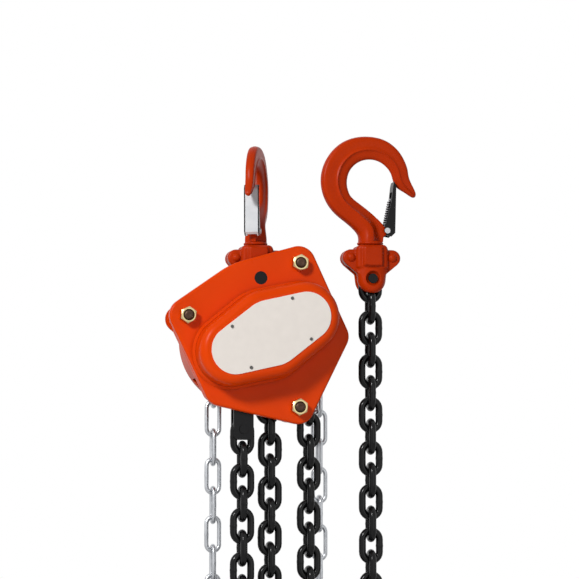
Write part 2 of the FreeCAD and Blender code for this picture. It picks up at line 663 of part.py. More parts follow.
def chain_pockets(body, name, count, station, reach, floor, link):
    """Pockets for the links that lie flat on a chain wheel, cut in turn round its axis."""
    length, across, play = link
    sketch = sketch_on(body, name, "XY_Plane", floor)
    half, end = amount(length), amount(across)
    middle = amount(station)
    radius = end + amount(play)
    centre = half - end
    for side in (1, -1):
        arc = Part.Circle(Vector(side * centre, middle), Vector(0, 0, 1), radius)
        start = -math.pi / 2 if side > 0 else math.pi / 2
        sketch.addGeometry(Part.ArcOfCircle(arc, start, start + math.pi))
        sketch.addGeometry(Part.LineSegment(
            Vector(side * centre, middle + side * radius), Vector(-side * centre, middle + side * radius)))
    sketch.addConstraint([
        Sketcher.Constraint("Tangent", 0, 2, 1, 1), Sketcher.Constraint("Tangent", 1, 2, 2, 1),
        Sketcher.Constraint("Tangent", 2, 2, 3, 1), Sketcher.Constraint("Tangent", 3, 2, 0, 1)])
    for curve, sign in ((0, ""), (2, "-")):
        x = f"{length} - {across}" if not sign else negative(f"{length} - {across}")
        for kind, text in (("DistanceX", x), ("DistanceY", station)):
            rule = Sketcher.Constraint(kind, -1, 1, curve, 3, amount(text))
            place = sketch.addConstraint(rule)
            sketch.setExpression(f"Constraints[{place}]", bound(text))
    place = sketch.addConstraint(Sketcher.Constraint("Radius", 0, radius))
    sketch.setExpression(f"Constraints[{place}]", bound(f"{across} + {play}"))
    recess = pocket(body, sketch, reach, Reversed=True)
    pattern = body.newObject("PartDesign::PolarPattern", name + "Ring")
    pattern.Originals = [recess]
    axis = [item for item in body.Origin.OriginFeatures if item.Role == "Y_Axis"][0]
    pattern.Axis = (axis, [""])
    pattern.Angle = 360
    pattern.Occurrences = count
    body.Tip = pattern
    doc.recompute()


def round_sketch(body, name, offset, *radii):
    """Circles about the wheel's axis on one sketch."""
    sketch = sketch_on(body, name, "XZ_Plane", offset)
    for radius in radii:
        curve = sketch.addGeometry(Part.Circle(Vector(), Vector(0, 0, 1), amount(radius)))
        pin_down(sketch, curve, "0", "0", radius)
    return sketch


def load_sheave():
    body = new_body("LoadSheave")
    rim = round_sketch(body, "SheaveRim", "sheave_width/2", SHEAVE_RADIUS)
    pad(body, rim, "sheave_width", Reversed=True)
    end = PLATE_FACE + " + gear_space/2"
    journal = round_sketch(body, "SheaveJournal", end, "sheave_journal")
    pad(body, journal, end + " + " + PLATE_FACE, Reversed=True)
    nose = round_sketch(body, "SheaveNose", end, "gear_bore - fit_gap")
    pad(body, nose, "gear_space/2 + gear_width")
    slot = round_sketch(body, "SheaveSlot", "wire/2 + pocket_play", SHEAVE_RADIUS + " + overrun",
                        f"{STANDING_RADIUS} - link_width/2 - pocket_play")
    pocket(body, slot, "wire + pocket_play*2")
    link = ("pitch/2 + link_play/2 + wire", "link_width/2", "pocket_play")
    floor = f"{FLAT_RADIUS} - wire/2 - pocket_play"
    chain_pockets(body, "SheavePocket", SHEAVE_POCKETS, "0", SHEAVE_RADIUS, floor, link)
    start = end + " + gear_width + overrun"
    bore = round_sketch(body, "SheaveBore", start, "sheave_bore")
    pocket(body, bore, start + " + overrun + " + PLATE_FACE)
    body.Tip = body.Group[-1]
    keep(body, "load_sheave", LEAN)
    rings = [ring(f"Bearing{n}", "bearing_radius", "sheave_journal + fit_gap", front, "plate_thick")
             for n, front in enumerate(("plate_gap/2", negative(PLATE_FACE)))]
    keep(group("SheaveBearings", *rings), "sheave_bearings", LEAN)


def brake():
    """Weston brake between the wheel side plate and the hand wheel."""
    flange = PLATE_FACE + " + gear_space*2"
    lining = flange + " + hub_flange_thick"
    teeth = lining + " + friction_thick"
    outer = teeth + " + ratchet_thick"
    hub = fuse("BrakeHubBody", disc("HubFlange", "hub_flange", negative(lining), "hub_flange_thick"),
               disc("HubSleeve", "hub_radius", negative(lining + " + hub_length"), "hub_length"))
    bore = disc("HubBore", "shaft_radius + fit_gap", negative(lining + " + hub_length"),
                "hub_length + hub_flange_thick")
    keep(cut("BrakeHub", hub, bore), "brake_hub", LEAN)
    discs = [ring(f"Friction{n}", "friction_radius", "hub_radius + fit_gap",
                  negative(start + " + friction_thick"), "friction_thick")
             for n, start in enumerate((lining, outer))]
    keep(group("FrictionDiscs", *discs), "friction_discs", LEAN)
    points = []
    for tooth in range(RATCHET_TEETH):
        angle = math.tau * tooth / RATCHET_TEETH
        for radius in (amount("ratchet_root"), amount("ratchet_tip")):
            points.append(Vector(radius * math.cos(angle), 0, radius * math.sin(angle)))
    face = Part.Face(Part.makePolygon(points + points[:1]))
    wheel = slab(face, -amount(outer), amount("ratchet_thick"))
    bore = rod(amount("hub_radius + fit_gap"), -amount(outer), amount("ratchet_thick"))
    made("ratchet_wheel", wheel.cut(bore), LEAN)
    pawls(amount(teeth), amount(outer))


def pawls(near, far):
    pin_x, pin_z = amount("pawl_pin_x"), amount("pawl_pin_z")
    play, nose = amount("running_gap"), amount("pawl_nose")
    face = flat_outline([(play * 2 + nose, amount("ratchet_root") + play * 2 + nose, nose),
                         (pin_x - nose, amount("ratchet_tip") - nose / 2, nose / 2),
                         (pin_x, pin_z, amount("pawl_eye"))])
    thickness = far - near - play * 2
    body = slab(face, -far + play, thickness)
    eye = rod(amount("pawl_pin_radius + fit_gap"), -far, far - near, pin_x, pin_z)
    pins, coils = [], []
    for number, name in enumerate(("pawl_upper", "pawl_lower")):
        half_turn = Placement(Vector(), Rotation(Vector(0, 1, 0), 180 * number))
        pawl = body.cut(eye)
        made(name, pawl, LEAN.multiply(half_turn))
        head_thick = amount("friction_thick - running_gap")
        start = -far - head_thick
        pin = rod(amount("pawl_pin_radius"), start, -amount("plate_gap/2") - start, pin_x, pin_z)
        head = rod(amount("pawl_eye - running_gap"), start, head_thick, pin_x, pin_z)
        pins.append(pin.fuse(head).transformed(half_turn.toMatrix()))
        coils.append(pawl_spring(near, pin_x, pin_z).transformed(half_turn.toMatrix()))
    made("pawl_pins", Part.Compound(pins), LEAN)
    made("pawl_springs", Part.Compound(coils), LEAN)


def pawl_spring(near, pin_x, pin_z):
    """Torsion spring round the pawl pin, with a leg on the pawl's back and one on the plate."""
    wire = amount("spring_wire")
    radius = amount("pawl_pin_radius") + wire / 2 + amount("running_gap")
    steps = COIL_STEPS * PAWL_COILS
    lift = (near - amount(PLATE_FACE) - wire * 2) / steps
    path = []
    for step in range(steps + 1):
        angle = math.pi / 2 + math.tau * step / COIL_STEPS
        y = amount(PLATE_FACE) + wire + lift * step
        path.append(Vector(pin_x + radius * math.cos(angle), y, pin_z + radius * math.sin(angle)))
    leg = Vector(amount("spring_leg"), 0, 0)
    path = [path[0] + leg] + path + [path[-1] - leg]
    return tube(path, wire / 2, WIRE_SIDES)


def tube(path, radius, sides, closed=False):
    """Wire of flat facets along a path, mitred at each of its points."""
    count = len(path)
    rings = []
    across = None
    for place, point in enumerate(path):
        before = path[place - 1] if place or closed else None
        after = path[(place + 1) % count] if place < count - 1 or closed else None
        first = (point - before).normalize() if before is not None else (after - point).normalize()
        second = (after - point).normalize() if after is not None else first
        along = (first + second).normalize()
        stretch = 1 / max(along.dot(second), LEAST_MITRE_SHARE)
        if across is None:
            across = Vector(0, 1, 0) if abs(along.y) < ALONG_SHARE else Vector(1, 0, 0)
        across = (across - along * across.dot(along)).normalize()
        bend = second - first
        outward = along.cross(across)
        fold = bend - along * bend.dot(along)
        loop = []
        for side in range(sides):
            angle = math.tau * (side + 0.5) / sides
            offset = across * (radius * math.cos(angle)) + outward * (radius * math.sin(angle))
            if fold.Length > NEAR:
                fold_way = Vector(fold).normalize()
                offset = offset + fold_way * (offset.dot(fold_way) * (stretch - 1))
            loop.append(point + offset)
        rings.append(loop)
    faces = []
    last = count if closed else count - 1
    for place in range(last):
        near, far = rings[place], rings[(place + 1) % count]
        for side in range(sides):
            nxt = (side + 1) % sides
            corners = [near[side], near[nxt], far[nxt], far[side]]
            faces += flat_faces(corners)
    if not closed:
        faces.append(Part.Face(Part.makePolygon(rings[0] + rings[0][:1])))
        faces.append(Part.Face(Part.makePolygon(rings[-1] + rings[-1][:1])))
    solid = Part.Solid(Part.Shell(faces))
    if solid.Volume < 0:
        solid.reverse()
    return solid


def flat_faces(corners):
    """One face for four corners in a plane, or else two triangles."""
    a, b, c, d = corners
    normal = (b - a).cross(c - a).normalize()
    if abs((d - a).dot(normal)) < FLAT_WITHIN:
        return [Part.Face(Part.makePolygon([a, b, c, d, a]))]
    return [Part.Face(Part.makePolygon([a, b, c, a])), Part.Face(Part.makePolygon([a, c, d, a]))]


def link_shape(wire, pitch, across, play):
    """Chain link in the XZ plane about the origin, with octagonal ends."""
    half = (across - wire) / 2
    top = (pitch + play + wire) / 2
    corner = half * math.tan(math.pi / 8)
    knee = top - half + corner
    corners = [(half, -knee), (half, knee), (corner, top), (-corner, top),
               (-half, knee), (-half, -knee), (-corner, -top), (corner, -top)]
    return tube([Vector(x, 0, z) for x, z in corners], wire / 2, LINK_SIDES, closed=True)


def lay_links(shape, joints, facing, normal=Vector(0, 1, 0), turn=0):
    """Links between neighbouring joints, by turns face-on and edge-on."""
    links = []
    for number, (start, end) in enumerate(zip(joints, joints[1:])):
        along = (end - start).normalize()
        face = Rotation(along, turn).multVec(normal)
        face = (face - along * face.dot(along)).normalize()
        side = face.cross(along)
        if (number + facing) % 2:
            face, side = side, -face
        link = shape.copy()
        link.Placement = Placement((start + end) / 2, Rotation(side, face, along, "ZYX"))
        links.append(link)
    return links


def plumb(start, pitch, end):
    """Joints that hang straight down from start until they pass the level end."""
    joints = [start]
    while joints[-1].z > end:
        joints.append(joints[-1] - Vector(0, 0, pitch))
    return joints[1:]


def half_turned(start, pitch, end):
    """Joints that hang plumb below one link that leans half as far as the body."""
    half_lean = Rotation(Vector(0, 1, 0), -amount("lean_angle/2")).multVec(Vector(0, 0, -pitch))
    return [start, start + half_lean] + plumb(start + half_lean, pitch, end)


def hanging_loop(start, end, chords):
    """Pivots of links with these chords that sag from start to end round one arc."""
    span = (end - start).Length
    low, high = max(chords) / 2, sum(chords) * len(chords)
    for _ in range(HALVINGS):
        radius = (low + high) / 2
        turns = [2 * math.asin(chord / 2 / radius) for chord in chords]
        reach = 2 * radius * math.sin(min(sum(turns) / 2, math.pi))
        low, high = (low, radius) if reach > span else (radius, high)
    across = (end - start).normalize()
    down = Vector(across.z, 0, -across.x)
    middle = (start + end) / 2 - down * (radius * math.cos(sum(turns) / 2))
    pivots, angle = [start], -sum(turns) / 2
    for turn in turns[:-1]:
        angle += turn
        pivots.append(middle + across * (radius * math.sin(angle)) + down * (radius * math.cos(angle)))
    return pivots + [end]


def load_chain():
    """Load chain: tail, slack side, over the sheave, load side, sagging loop and hook strand."""
    pitch = amount("pitch")
    link = link_shape(amount("wire"), pitch, amount("link_width"), amount("link_play"))
    end = -amount("strand_end")
    half, under = FLAT_CHORD / 2, FLAT_CHORD / 2 + STANDING_CHORD
    turn = math.asin(half / PIVOT_RADIUS)
    corners = [middle + side * turn for middle in (0, math.pi / 2, math.pi) for side in (-1, 1)]
    wrap = [Vector(FLAT_RADIUS, 0, -under - FLAT_CHORD), Vector(FLAT_RADIUS, 0, -under)]
    wrap += [Vector(PIVOT_RADIUS * math.cos(angle), 0, PIVOT_RADIUS * math.sin(angle)) for angle in corners]
    wrap += [Vector(-FLAT_RADIUS, 0, -under), Vector(-FLAT_RADIUS, 0, -under - FLAT_CHORD)]
    made("load_chain_wrap", Part.Compound(lay_links(link, [LEAN.multVec(joint) for joint in wrap], 1)))
    # Below the wrap the load side turns plumb over one link, and the slack side after one
    first = -half - pitch * 2 + amount("link_play/2 + wire/2")
    load_side = half_turned(LEAN.multVec(Vector(FLAT_RADIUS, 0, first)), pitch, end)
    slack_side = [LEAN.multVec(Vector(-FLAT_RADIUS, 0, level)) for level in (first, first - pitch)]
    slack_side += plumb(slack_side[-1], pitch, end)
    made("load_chain_slack_strand", Part.Compound(lay_links(link, slack_side, 0)))
    turn = -amount("bottom_hook_angle")
    hook_x = amount("bottom_hook_x")
    seat = -amount("bottom_yoke_top + yoke_pin_drop") + amount("chain_pin + link_play/2 - wire/2")
    hook_top = Vector(hook_x, 0, seat + amount("wire/2"))
    hook_side = [hook_top] + plumb(hook_top, pitch, end)
    facing = Rotation(Vector(0, 0, 1), turn).multVec(Vector(0, 1, 0))
    made("load_chain_hook_strand", Part.Compound(lay_links(link, hook_side, 0, facing)))
    made("load_chain_load_strand", Part.Compound(lay_links(link, load_side, 0)))
    # The loop takes up where both strands end, its links flat and standing by turns
    first_flat, last_flat = len(load_side) % 2 == 0, len(hook_side) % 2 == 0
    count = LOOP_LINKS + (first_flat != last_flat)
    flats = [number % 2 == (0 if first_flat else 1) for number in range(count)]
    shift = Vector(0, 0, amount("link_play/2 + wire/2"))
    loop_start = load_side[-1] + (shift if first_flat else -shift)
    loop_end = hook_side[-1] + (shift if last_flat else -shift)
    sag = hanging_loop(loop_start, loop_end, [FLAT_CHORD if flat else STANDING_CHORD for flat in flats])
    made("load_chain_sag", Part.Compound(lay_links(link, sag, 1 if first_flat else 0)))
    anchor = LEAN.multVec(Vector(-amount("anchor_x"), -amount("anchor_depth"), -amount("anchor_drop")))
    tail_top = anchor + Vector(0, 0, -amount("anchor_length") + amount("anchor_pin + link_play/2"))
    tail = [tail_top] + plumb(tail_top, pitch, end)
    made("load_chain_tail_strand", Part.Compound(lay_links(link, tail, 0)))
    return tail[-1], slack_side[-1]


def hand_chain():
    """Hand chain over its wheel, with both sides turning plumb over one link."""
    pitch = amount("hand_pitch")
    link = link_shape(amount("hand_wire"), pitch, amount("hand_link_width"), amount("link_play"))
    end = -amount("strand_end")
    wrap = []
    for number in range(WHEEL_POCKETS + 2):
        angle = -WHEEL_STEP / 2 + WHEEL_STEP * number
        x, z = WHEEL_PITCH_RADIUS * math.cos(angle), WHEEL_PITCH_RADIUS * math.sin(angle)
        wrap.append(Vector(x, HAND_Y, z))
    wrap.insert(0, wrap[0] - Vector(0, 0, pitch))
    wrap = [LEAN.multVec(joint) for joint in wrap]
    # The left side's turning link is still between the wheel's teeth, so it counts as wrap
    wrap.append(half_turned(wrap[-1], pitch, end)[1])
    made("hand_chain_wrap", Part.Compound(lay_links(link, wrap, 1)))
    right, left = half_turned(wrap[0], pitch, end), [wrap[-1]] + plumb(wrap[-1], pitch, end)
    made("hand_chain_right_strand", Part.Compound(lay_links(link, right, 0)))
    made("hand_chain_left_strand", Part.Compound(lay_links(link, left, len(wrap) % 2)))
    return right[-1], left[-1]


def bundle(name, strands, wire, half_x, half_y, length, left, front=0):
    """Length of chain that the hoist holds in reserve, tied in a bundle below two strands."""
    round_part = amount("bundle_round")
    near, far = strands
    x, y = (near.x + far.x) / 2 - left, (near.y + far.y) / 2 - front
    top = min(near.z, far.z) - amount("link_play/2 + running_gap") - wire
    block = Part.makeBox(half_x * 2, half_y * 2, length, Vector(x - half_x, y - half_y, top - length))
    made(name, block.makeFillet(round_part, block.Edges))


def guides():
    """Rollers and stripper that keep the load chain on its sheave."""
    for side, (x, z), name in ((1, ROLLERS[0], "guide_roller_right"), (-1, ROLLERS[1], "guide_roller_left")):
        length = "plate_gap - running_gap*2"
        roller = ring(name.title().replace("_", ""), "roller_radius", "roller_pin + fit_gap",
                      "-plate_gap/2 + running_gap", length, x, z)
        keep(roller, name, LEAN)
    span = PLATE_FACE + " + " + PLATE_FACE
    pins = [disc(f"RollerPin{n}", "roller_pin", negative(PLATE_FACE), span, x, z)
            for n, (x, z) in enumerate(ROLLERS)]
    keep(group("RollerPins", *pins), "guide_roller_pins", LEAN)
    body = new_body("Stripper")
    circles = [("0", "-stripper_reach", "stripper_nose"),
               ("-stripper_half", "-stripper_drop", "stripper_heel"),
               ("stripper_half", "-stripper_drop", "stripper_heel")]
    outline = outline_sketch(body, "StripperOutline", "XZ_Plane", "-wire/2", circles)
    pad(body, outline, "wire")
    pin = disc("StripperPin", "roller_pin", negative(PLATE_FACE), span, "0", "-stripper_drop")
    keep(fuse("StripperBody", body, pin), "chain_stripper", LEAN)


def tail_anchor():
    """Strap that hangs plumb from a pin in the side plates and holds the chain's last link."""
    pin = LEAN.multVec(Vector(-amount("anchor_x"), 0, -amount("anchor_drop")))
    low = pin - Vector(0, 0, amount("anchor_length"))
    half, strap, middle = amount("anchor_width/2"), amount("anchor_sheet"), amount("anchor_depth")
    gap = amount("wire/2 + running_gap")
    radius = amount("anchor_pin")
    height = amount("anchor_length + anchor_foot*2")
    cheeks = []
    for start in (middle + gap, middle - gap - strap):
        corner = Vector(low.x - half, -start - strap, low.z - amount("anchor_foot"))
        cheek = Part.makeBox(half * 2, strap, height, corner)
        along = [edge for edge in cheek.Edges if abs(edge.tangentAt(0).y) > ALONG_SHARE]
        cheek = cheek.makeFillet(amount("anchor_corner"), along)
        for place in (pin, low):
            cheek = cheek.cut(rod(radius + amount("fit_gap"), 0, middle * 3, place.x, place.z))
        cheeks.append(cheek)
    made("tail_anchor", Part.Compound(cheeks))
    reach = amount(PLATE_FACE)
    made("tail_anchor_pin", rod(radius, -reach, reach * 2, pin.x, pin.z))
    head = amount("anchor_sheet/2")
    end = middle + gap + strap
    stud = rod(radius, middle - gap - strap - head, gap * 2 + strap * 2 + head * 2, low.x, low.z)
    for start in (middle - gap - strap - head, end):
        stud = stud.fuse(rod(amount("anchor_head"), start, head, low.x, low.z))
    made("tail_anchor_stud", stud)


def hand_wheel():
    body = new_body("HandWheel")
    flat = WHEEL_PITCH_RADIUS * math.cos(WHEEL_STEP / 2)
    rear = WHEEL_BACK + " + wheel_width"
    rim = round_sketch(body, "WheelRim", negative(WHEEL_BACK), WHEEL_RADIUS)
    pad(body, rim, "wheel_width", Reversed=True)
    slot = round_sketch(body, "WheelSlot", negative(WHEEL_MIDDLE) + " + hand_wire/2 + pocket_play",
                        WHEEL_RADIUS + " + overrun", f"{flat} - hand_link_width/2 - pocket_play")
    pocket(body, slot, "hand_wire + pocket_play*2")
    dish = round_sketch(body, "WheelDish", negative(rear), "wheel_rim", "wheel_hub")
    pocket(body, dish, "wheel_width - wheel_web", Reversed=True)
    well = round_sketch(body, "WheelWell", negative(WHEEL_BACK), "hub_radius + running_gap")
    pocket(body, well, "hub_length - friction_thick*2 - ratchet_thick + running_gap")
    link = ("hand_pitch/2 + link_play/2 + hand_wire", "hand_link_width/2", "pocket_play")
    floor = f"{flat} - hand_wire/2 - pocket_play"
    chain_pockets(body, "WheelPocket", WHEEL_POCKETS, WHEEL_MIDDLE, WHEEL_RADIUS, floor, link)
    bore = round_sketch(body, "WheelBore", negative(WHEEL_BACK) + " + overrun", "shaft_radius + fit_gap")
    pocket(body, bore, "wheel_width + overrun*2")
    body.Tip = body.Group[-1]
    keep(body, "hand_wheel", LEAN)
    block = doc.addObject("Part::Prism", "WheelNutBlock")
    block.Polygon = 6
    tie(block, Circumradius="wheel_nut_corner", Height="nut_height")
    bore = doc.addObject("Part::Cylinder", "WheelNutBore")
    tie(bore, Radius="shaft_radius + fit_gap", Height="nut_height")
    shape = cut("WheelNut", block, bore)
    shape.Placement = Placement(Vector(), Rotation(Vector(1, 0, 0), -90))
    tie(shape, Placement__Base__y=rear)
    keep(shape, "wheel_nut", LEAN)


def hand_wheel_cover():
    body = new_body("HandWheelCover")
    ears = [(x, z, "wheel_cover_ear") for x, z in BOLTS]
    holes = [(x, z, "bolt_radius + fit_gap") for x, z in BOLTS]
    flange = outline_sketch(body, "WheelCoverFlange", "XZ_Plane", negative(PLATE_FACE), ears, holes)
    pad(body, flange, "wheel_cover_wall", Reversed=True)
    cup = round_sketch(body, "WheelCoverCup", negative(PLATE_FACE), COVER_OUTSIDE)
    pad(body, cup, COVER_DEPTH, Reversed=True)
    hollow = round_sketch(body, "WheelCoverInside", negative(PLATE_FACE), COVER_INSIDE)
    drum = pocket(body, hollow, COVER_DEPTH + " - wheel_cover_wall")
    inner_round = "wheel_cover_round - wheel_cover_wall"
    soften(body, "WheelCoverHollow", drum, COVER_REAR + " - wheel_cover_wall", inner_round)
    soften(body, "WheelCoverLip", body.Group[-1], COVER_REAR, "wheel_cover_round")
    body.Tip = body.Group[-1]
    windows = []
    for number, side in enumerate(("", "-")):
        window = doc.addObject("Part::Box", f"ChainWindow{number}")
        tie(window, Length=COVER_OUTSIDE + " - chain_window_in", Width="chain_window_width",
            Height=COVER_OUTSIDE)
        start = negative(COVER_OUTSIDE) if side else "chain_window_in"
        tie(window, Placement__Base__x=start, Placement__Base__y=WHEEL_MIDDLE + " - chain_window_width/2",
            Placement__Base__z=negative("chain_window_drop + " + COVER_OUTSIDE))
        windows.append(window)
    keep(cut("WheelCoverCut", body, *windows), "hand_wheel_cover", LEAN)


def top_pin():
    length = PLATE_FACE + " + " + COVER_FACE + " - running_gap"
    pin = disc("TopPin", "pin_radius", negative(PLATE_FACE), length, "pin_x", "pin_z")
    keep(pin, "top_pin", LEAN)


# Half sections of a forged hook, from tip to neck, as shares of the bowl radius about the bowl's
# middle: outer edge x and z, inner edge x and z, half thickness
HOOK_SHARES = (
    (2.03, -0.47, 1.88, -0.64, 0.14),
    (1.83, -0.08, 1.48, -0.36, 0.20),
    (1.68, 0.28, 1.10, -0.10, 0.24),
    (1.62, 0.62, 0.95, 0.30, 0.27),
    (1.47, 1.02, 0.80, 0.60, 0.29),
    (1.16, 1.47, 0.55, 0.835, 0.30),
    (0.62, 1.86, 0.27, 0.963, 0.31),
    (-0.05, 2.02, -0.02, 1, 0.32),
    (-0.70, 1.93, -0.34, 0.94, 0.32),
    (-1.30, 1.62, -0.62, 0.785, 0.33),
    (-1.79, 1.10, -0.85, 0.53, 0.33),
    (-2.07, 0.45, -0.97, 0.22, 0.33),
    (-2.09, -0.22, -0.99, -0.10, 0.33),
    (-1.88, -0.84, -0.92, -0.40, 0.34),
    (-1.50, -1.33, -0.76, -0.65, 0.35),
    (-1.06, -1.68, -0.36, -0.96, 0.37),
    (-0.72, -1.97, 0.10, -1.32, 0.41),
    (-0.53, -2.22, 0.42, -1.68, 0.46),
    (-0.50, -2.45, 0.50, -2.10, 0.50),
    (-0.50, -2.64, 0.50, -2.64, 0.50),
)
# Corners of one section, shares of its half width and half thickness
SECTION_SHARES = ((1, 0.45), (0.5, 1), (-0.45, 1), (-1, 0.35),
                  (-1, -0.35), (-0.45, -1), (0.5, -1), (1, -0.45))
HOOK_NECK_SHARE = 2.64
# Latch: pivot, and the outline of its side from the tip round, as shares of the bowl radius
LATCH_PIVOT_SHARES = (0.68, -2.02)
LATCH_SHARES = ((0.98, 0.06), (1.07, -0.12), (1.02, -2.10), (0.86, -2.26), (0.66, -2.22), (0.54, -2.02),
                (0.66, -1.55), (0.86, -0.80), (0.94, -0.12))


def hook_parts(end, bowl_size, turn, x, yoke_top):
    """Forged hook with its nut, sheet latch, latch pin and latch spring, swivelled about its stem."""
    bowl = amount(bowl_size)
    middle = Vector(x, 0, bowl * HOOK_NECK_SHARE - amount(yoke_top))
    place = Placement(middle, Rotation(Vector(0, 0, 1), turn))
    rings = []
    for outer_x, outer_z, inner_x, inner_z, half in HOOK_SHARES:
        outer = Vector(outer_x, 0, outer_z) * bowl
        inner = Vector(inner_x, 0, inner_z) * bowl
        middle, across = (outer + inner) / 2, (outer - inner) / 2
        points = [middle + across * u + Vector(0, half * bowl * v, 0) for u, v in SECTION_SHARES]
        rings.append(Part.makePolygon(points + points[:1]))
    hook = Part.makeLoft(rings, True, True)
    neck = -bowl * HOOK_NECK_SHARE
    wall, nut_height = amount("yoke_wall"), amount("hook_nut_height")
    foot = Vector(0, 0, neck - wall - nut_height)
    stem = Part.makeCylinder(amount("hook_stem"), wall + nut_height, foot)
    pivot = Vector(LATCH_PIVOT_SHARES[0], 0, LATCH_PIVOT_SHARES[1]) * bowl
    half, boss_radius = amount("latch_boss_half"), amount("latch_boss")
    boss = rod(boss_radius, -half, half * 2, pivot.x, pivot.z)
    web = Part.makeBox(pivot.x, half * 2, boss_radius * 2, Vector(0, -half, pivot.z - boss_radius))
    eye = rod(amount("latch_pin + fit_gap"), -half * 2, half * 4, pivot.x, pivot.z)
    made(f"{end}_hook", hook.fuse([stem, boss, web]).cut(eye), place)
    nut_ring = Part.makeCylinder(amount("hook_nut"), nut_height, foot)
    bore = Part.makeCylinder(amount("hook_stem + fit_gap"), nut_height, foot)
    made(f"{end}_hook_nut", nut_ring.cut(bore), place)
    latch(end, bowl, pivot, place)


def latch(end, bowl, pivot, place):
    """Folded sheet latch that closes the hook's mouth from inside, with its pin and torsion spring."""
    points = [Vector(x, 0, z) * bowl for x, z in LATCH_SHARES]
    strip, inside = amount("latch_sheet"), amount("latch_inside")
    outside = inside + strip
    body = slab(Part.Face(Part.makePolygon(points + points[:1])), -outside, outside * 2)
    tip, heel = points[1], points[2]
    lower = Vector(0, 0, -bowl)
    inner = heel + Vector(-strip, 0, 0)
    channel = [tip + Vector(-strip, 0, -strip * 3), inner, inner + lower,
               heel + Vector(-bowl, 0, 0) + lower, tip + Vector(-bowl, 0, -strip * 3)]
    hollow = slab(Part.Face(Part.makePolygon(channel + channel[:1])), -inside, inside * 2)
    eye = rod(amount("latch_pin + fit_gap"), -outside, outside * 2, pivot.x, pivot.z)
    made(f"{end}_latch", body.cut([hollow, eye]), place)
    cap = amount("latch_pin_cap")
    pin = rod(amount("latch_pin"), -outside - cap, (outside + cap) * 2, pivot.x, pivot.z)
    heads = [rod(amount("latch_pin_head"), start, cap, pivot.x, pivot.z)
             for start in (-outside - cap, outside)]
    made(f"{end}_latch_pin", pin.fuse(heads), place)
    made(f"{end}_latch_spring", latch_spring(pivot, (tip - heel).normalize()), place)


def latch_spring(pivot, up):
    """Coil beside the boss, with one leg up inside the latch and one leg on the hook's neck."""
    radius = amount("latch_pin + running_gap + latch_wire/2")
    start = amount("latch_boss_half + latch_wire/2 + fit_gap")
    travel = amount("latch_inside - latch_boss_half - latch_wire - fit_gap*2")
    steps = COIL_STEPS + COIL_STEPS // 4
    path = []
    for step in range(steps + 1):
        angle = math.tau * step / COIL_STEPS - math.pi / 2
        offset = Vector(radius * math.cos(angle), -start - travel * step / steps, radius * math.sin(angle))
        path.append(pivot + offset)
    path.append(path[-1] + up * amount("latch_leg"))
    path.insert(0, path[0] - Vector(amount("latch_foot"), 0, 0))
    return tube(path, amount("latch_wire/2"), WIRE_SIDES)


def yoke(end, turn, x, yoke_top, slotted=False):
    """Two forged halves riveted round the hook nut, with the pin that they hang on or hold."""
    place = Placement(Vector(x, 0, -amount(yoke_top)), Rotation(Vector(0, 0, 1), turn))
    deep, thin, soft = amount("yoke_depth"), amount("yoke_lug_thick"), amount("yoke_round")
    pin_drop, lug_x, lug_drop = amount("yoke_pin_drop"), amount("yoke_lug_x"), amount("yoke_lug_drop")
    end_radius, shoulder = amount("yoke_end"), amount("yoke_shoulder")
    reach = amount("yoke_half") - shoulder
    core = flat_outline([(reach, -shoulder, shoulder), (-reach, -shoulder, shoulder),
                         (0, -pin_drop, end_radius)])
    ears = flat_outline([(lug_x, -lug_drop, amount("yoke_lug")), (-lug_x, -lug_drop, amount("yoke_lug")),
                         (0, end_radius / 2 - pin_drop, end_radius - soft)])
    hollows = [yoke_hollow(slotted)]
    hollows += [rod(amount("yoke_rivet + fit_gap"), -deep, deep * 2, side * lug_x, -lug_drop)
                for side in (1, -1)]
    for way, name in ((1, "front"), (-1, "rear")):
        block = slab(core, 0, deep * way)
        outer = [e for e in block.Edges if abs(e.BoundBox.Center.y + deep * way) < soft / 10]
        body = block.makeFillet(soft, outer).fuse(slab(ears, 0, thin * way))
        made(f"{end}_yoke_{name}", body.cut(hollows), place)
    rivets = []
    for side in (1, -1):
        rivet = rod(amount("yoke_rivet"), -thin, thin * 2, side * lug_x, -lug_drop)
        rivets.append(rivet.fuse([rivet_head(thin, way, side * lug_x, -lug_drop) for way in (1, -1)]))
    made(f"{end}_yoke_rivets", Part.Compound(rivets), place)
    if slotted:
        half = deep - amount("chain_pin_set")
        made("chain_pin", rod(amount("chain_pin"), -half, half * 2, 0, -pin_drop), place)


def yoke_hollow(slotted):
    """Space inside a yoke for the hook's stem and nut, its pin and, where it holds chain, the link."""
    wall, room, deep = amount("yoke_wall"), amount("hook_nut_height + running_gap*2"), amount("yoke_depth")
    pin_drop, set_back = amount("yoke_pin_drop"), amount("chain_pin_set")
    stem = Part.makeCylinder(amount("hook_stem + running_gap/2"), wall * 2, Vector(0, 0, -wall))
    nut_room = Part.makeCylinder(amount("hook_nut + running_gap"), room, Vector(0, 0, -wall - room))
    radius = amount("chain_pin" if slotted else "pin_radius") + amount("fit_gap")
    hollow = stem.fuse([nut_room, rod(radius, -deep, deep * 2, 0, -pin_drop)])
    if slotted:
        slot, half = amount("wire/2 + running_gap"), amount("yoke_half*2")
        mouth = amount("yoke_pin_drop - link_width/2 - running_gap")
        gap = Part.makeBox(half * 2, slot * 2, half * 3, Vector(-half, -slot, -mouth - half * 3))
        cross = amount("link_width/2 + running_gap")
        below = amount("yoke_pin_drop - chain_pin + pitch - wire - link_play*2")
        notch = Part.makeBox(slot * 2, cross * 2, half, Vector(-slot, -cross, -below - half))
        ends = [rod(amount("chain_pin_recess"), start, set_back, 0, -pin_drop)
                for start in (deep - set_back, -deep)]
        hollow = hollow.fuse([gap, notch] + ends)
    return hollow


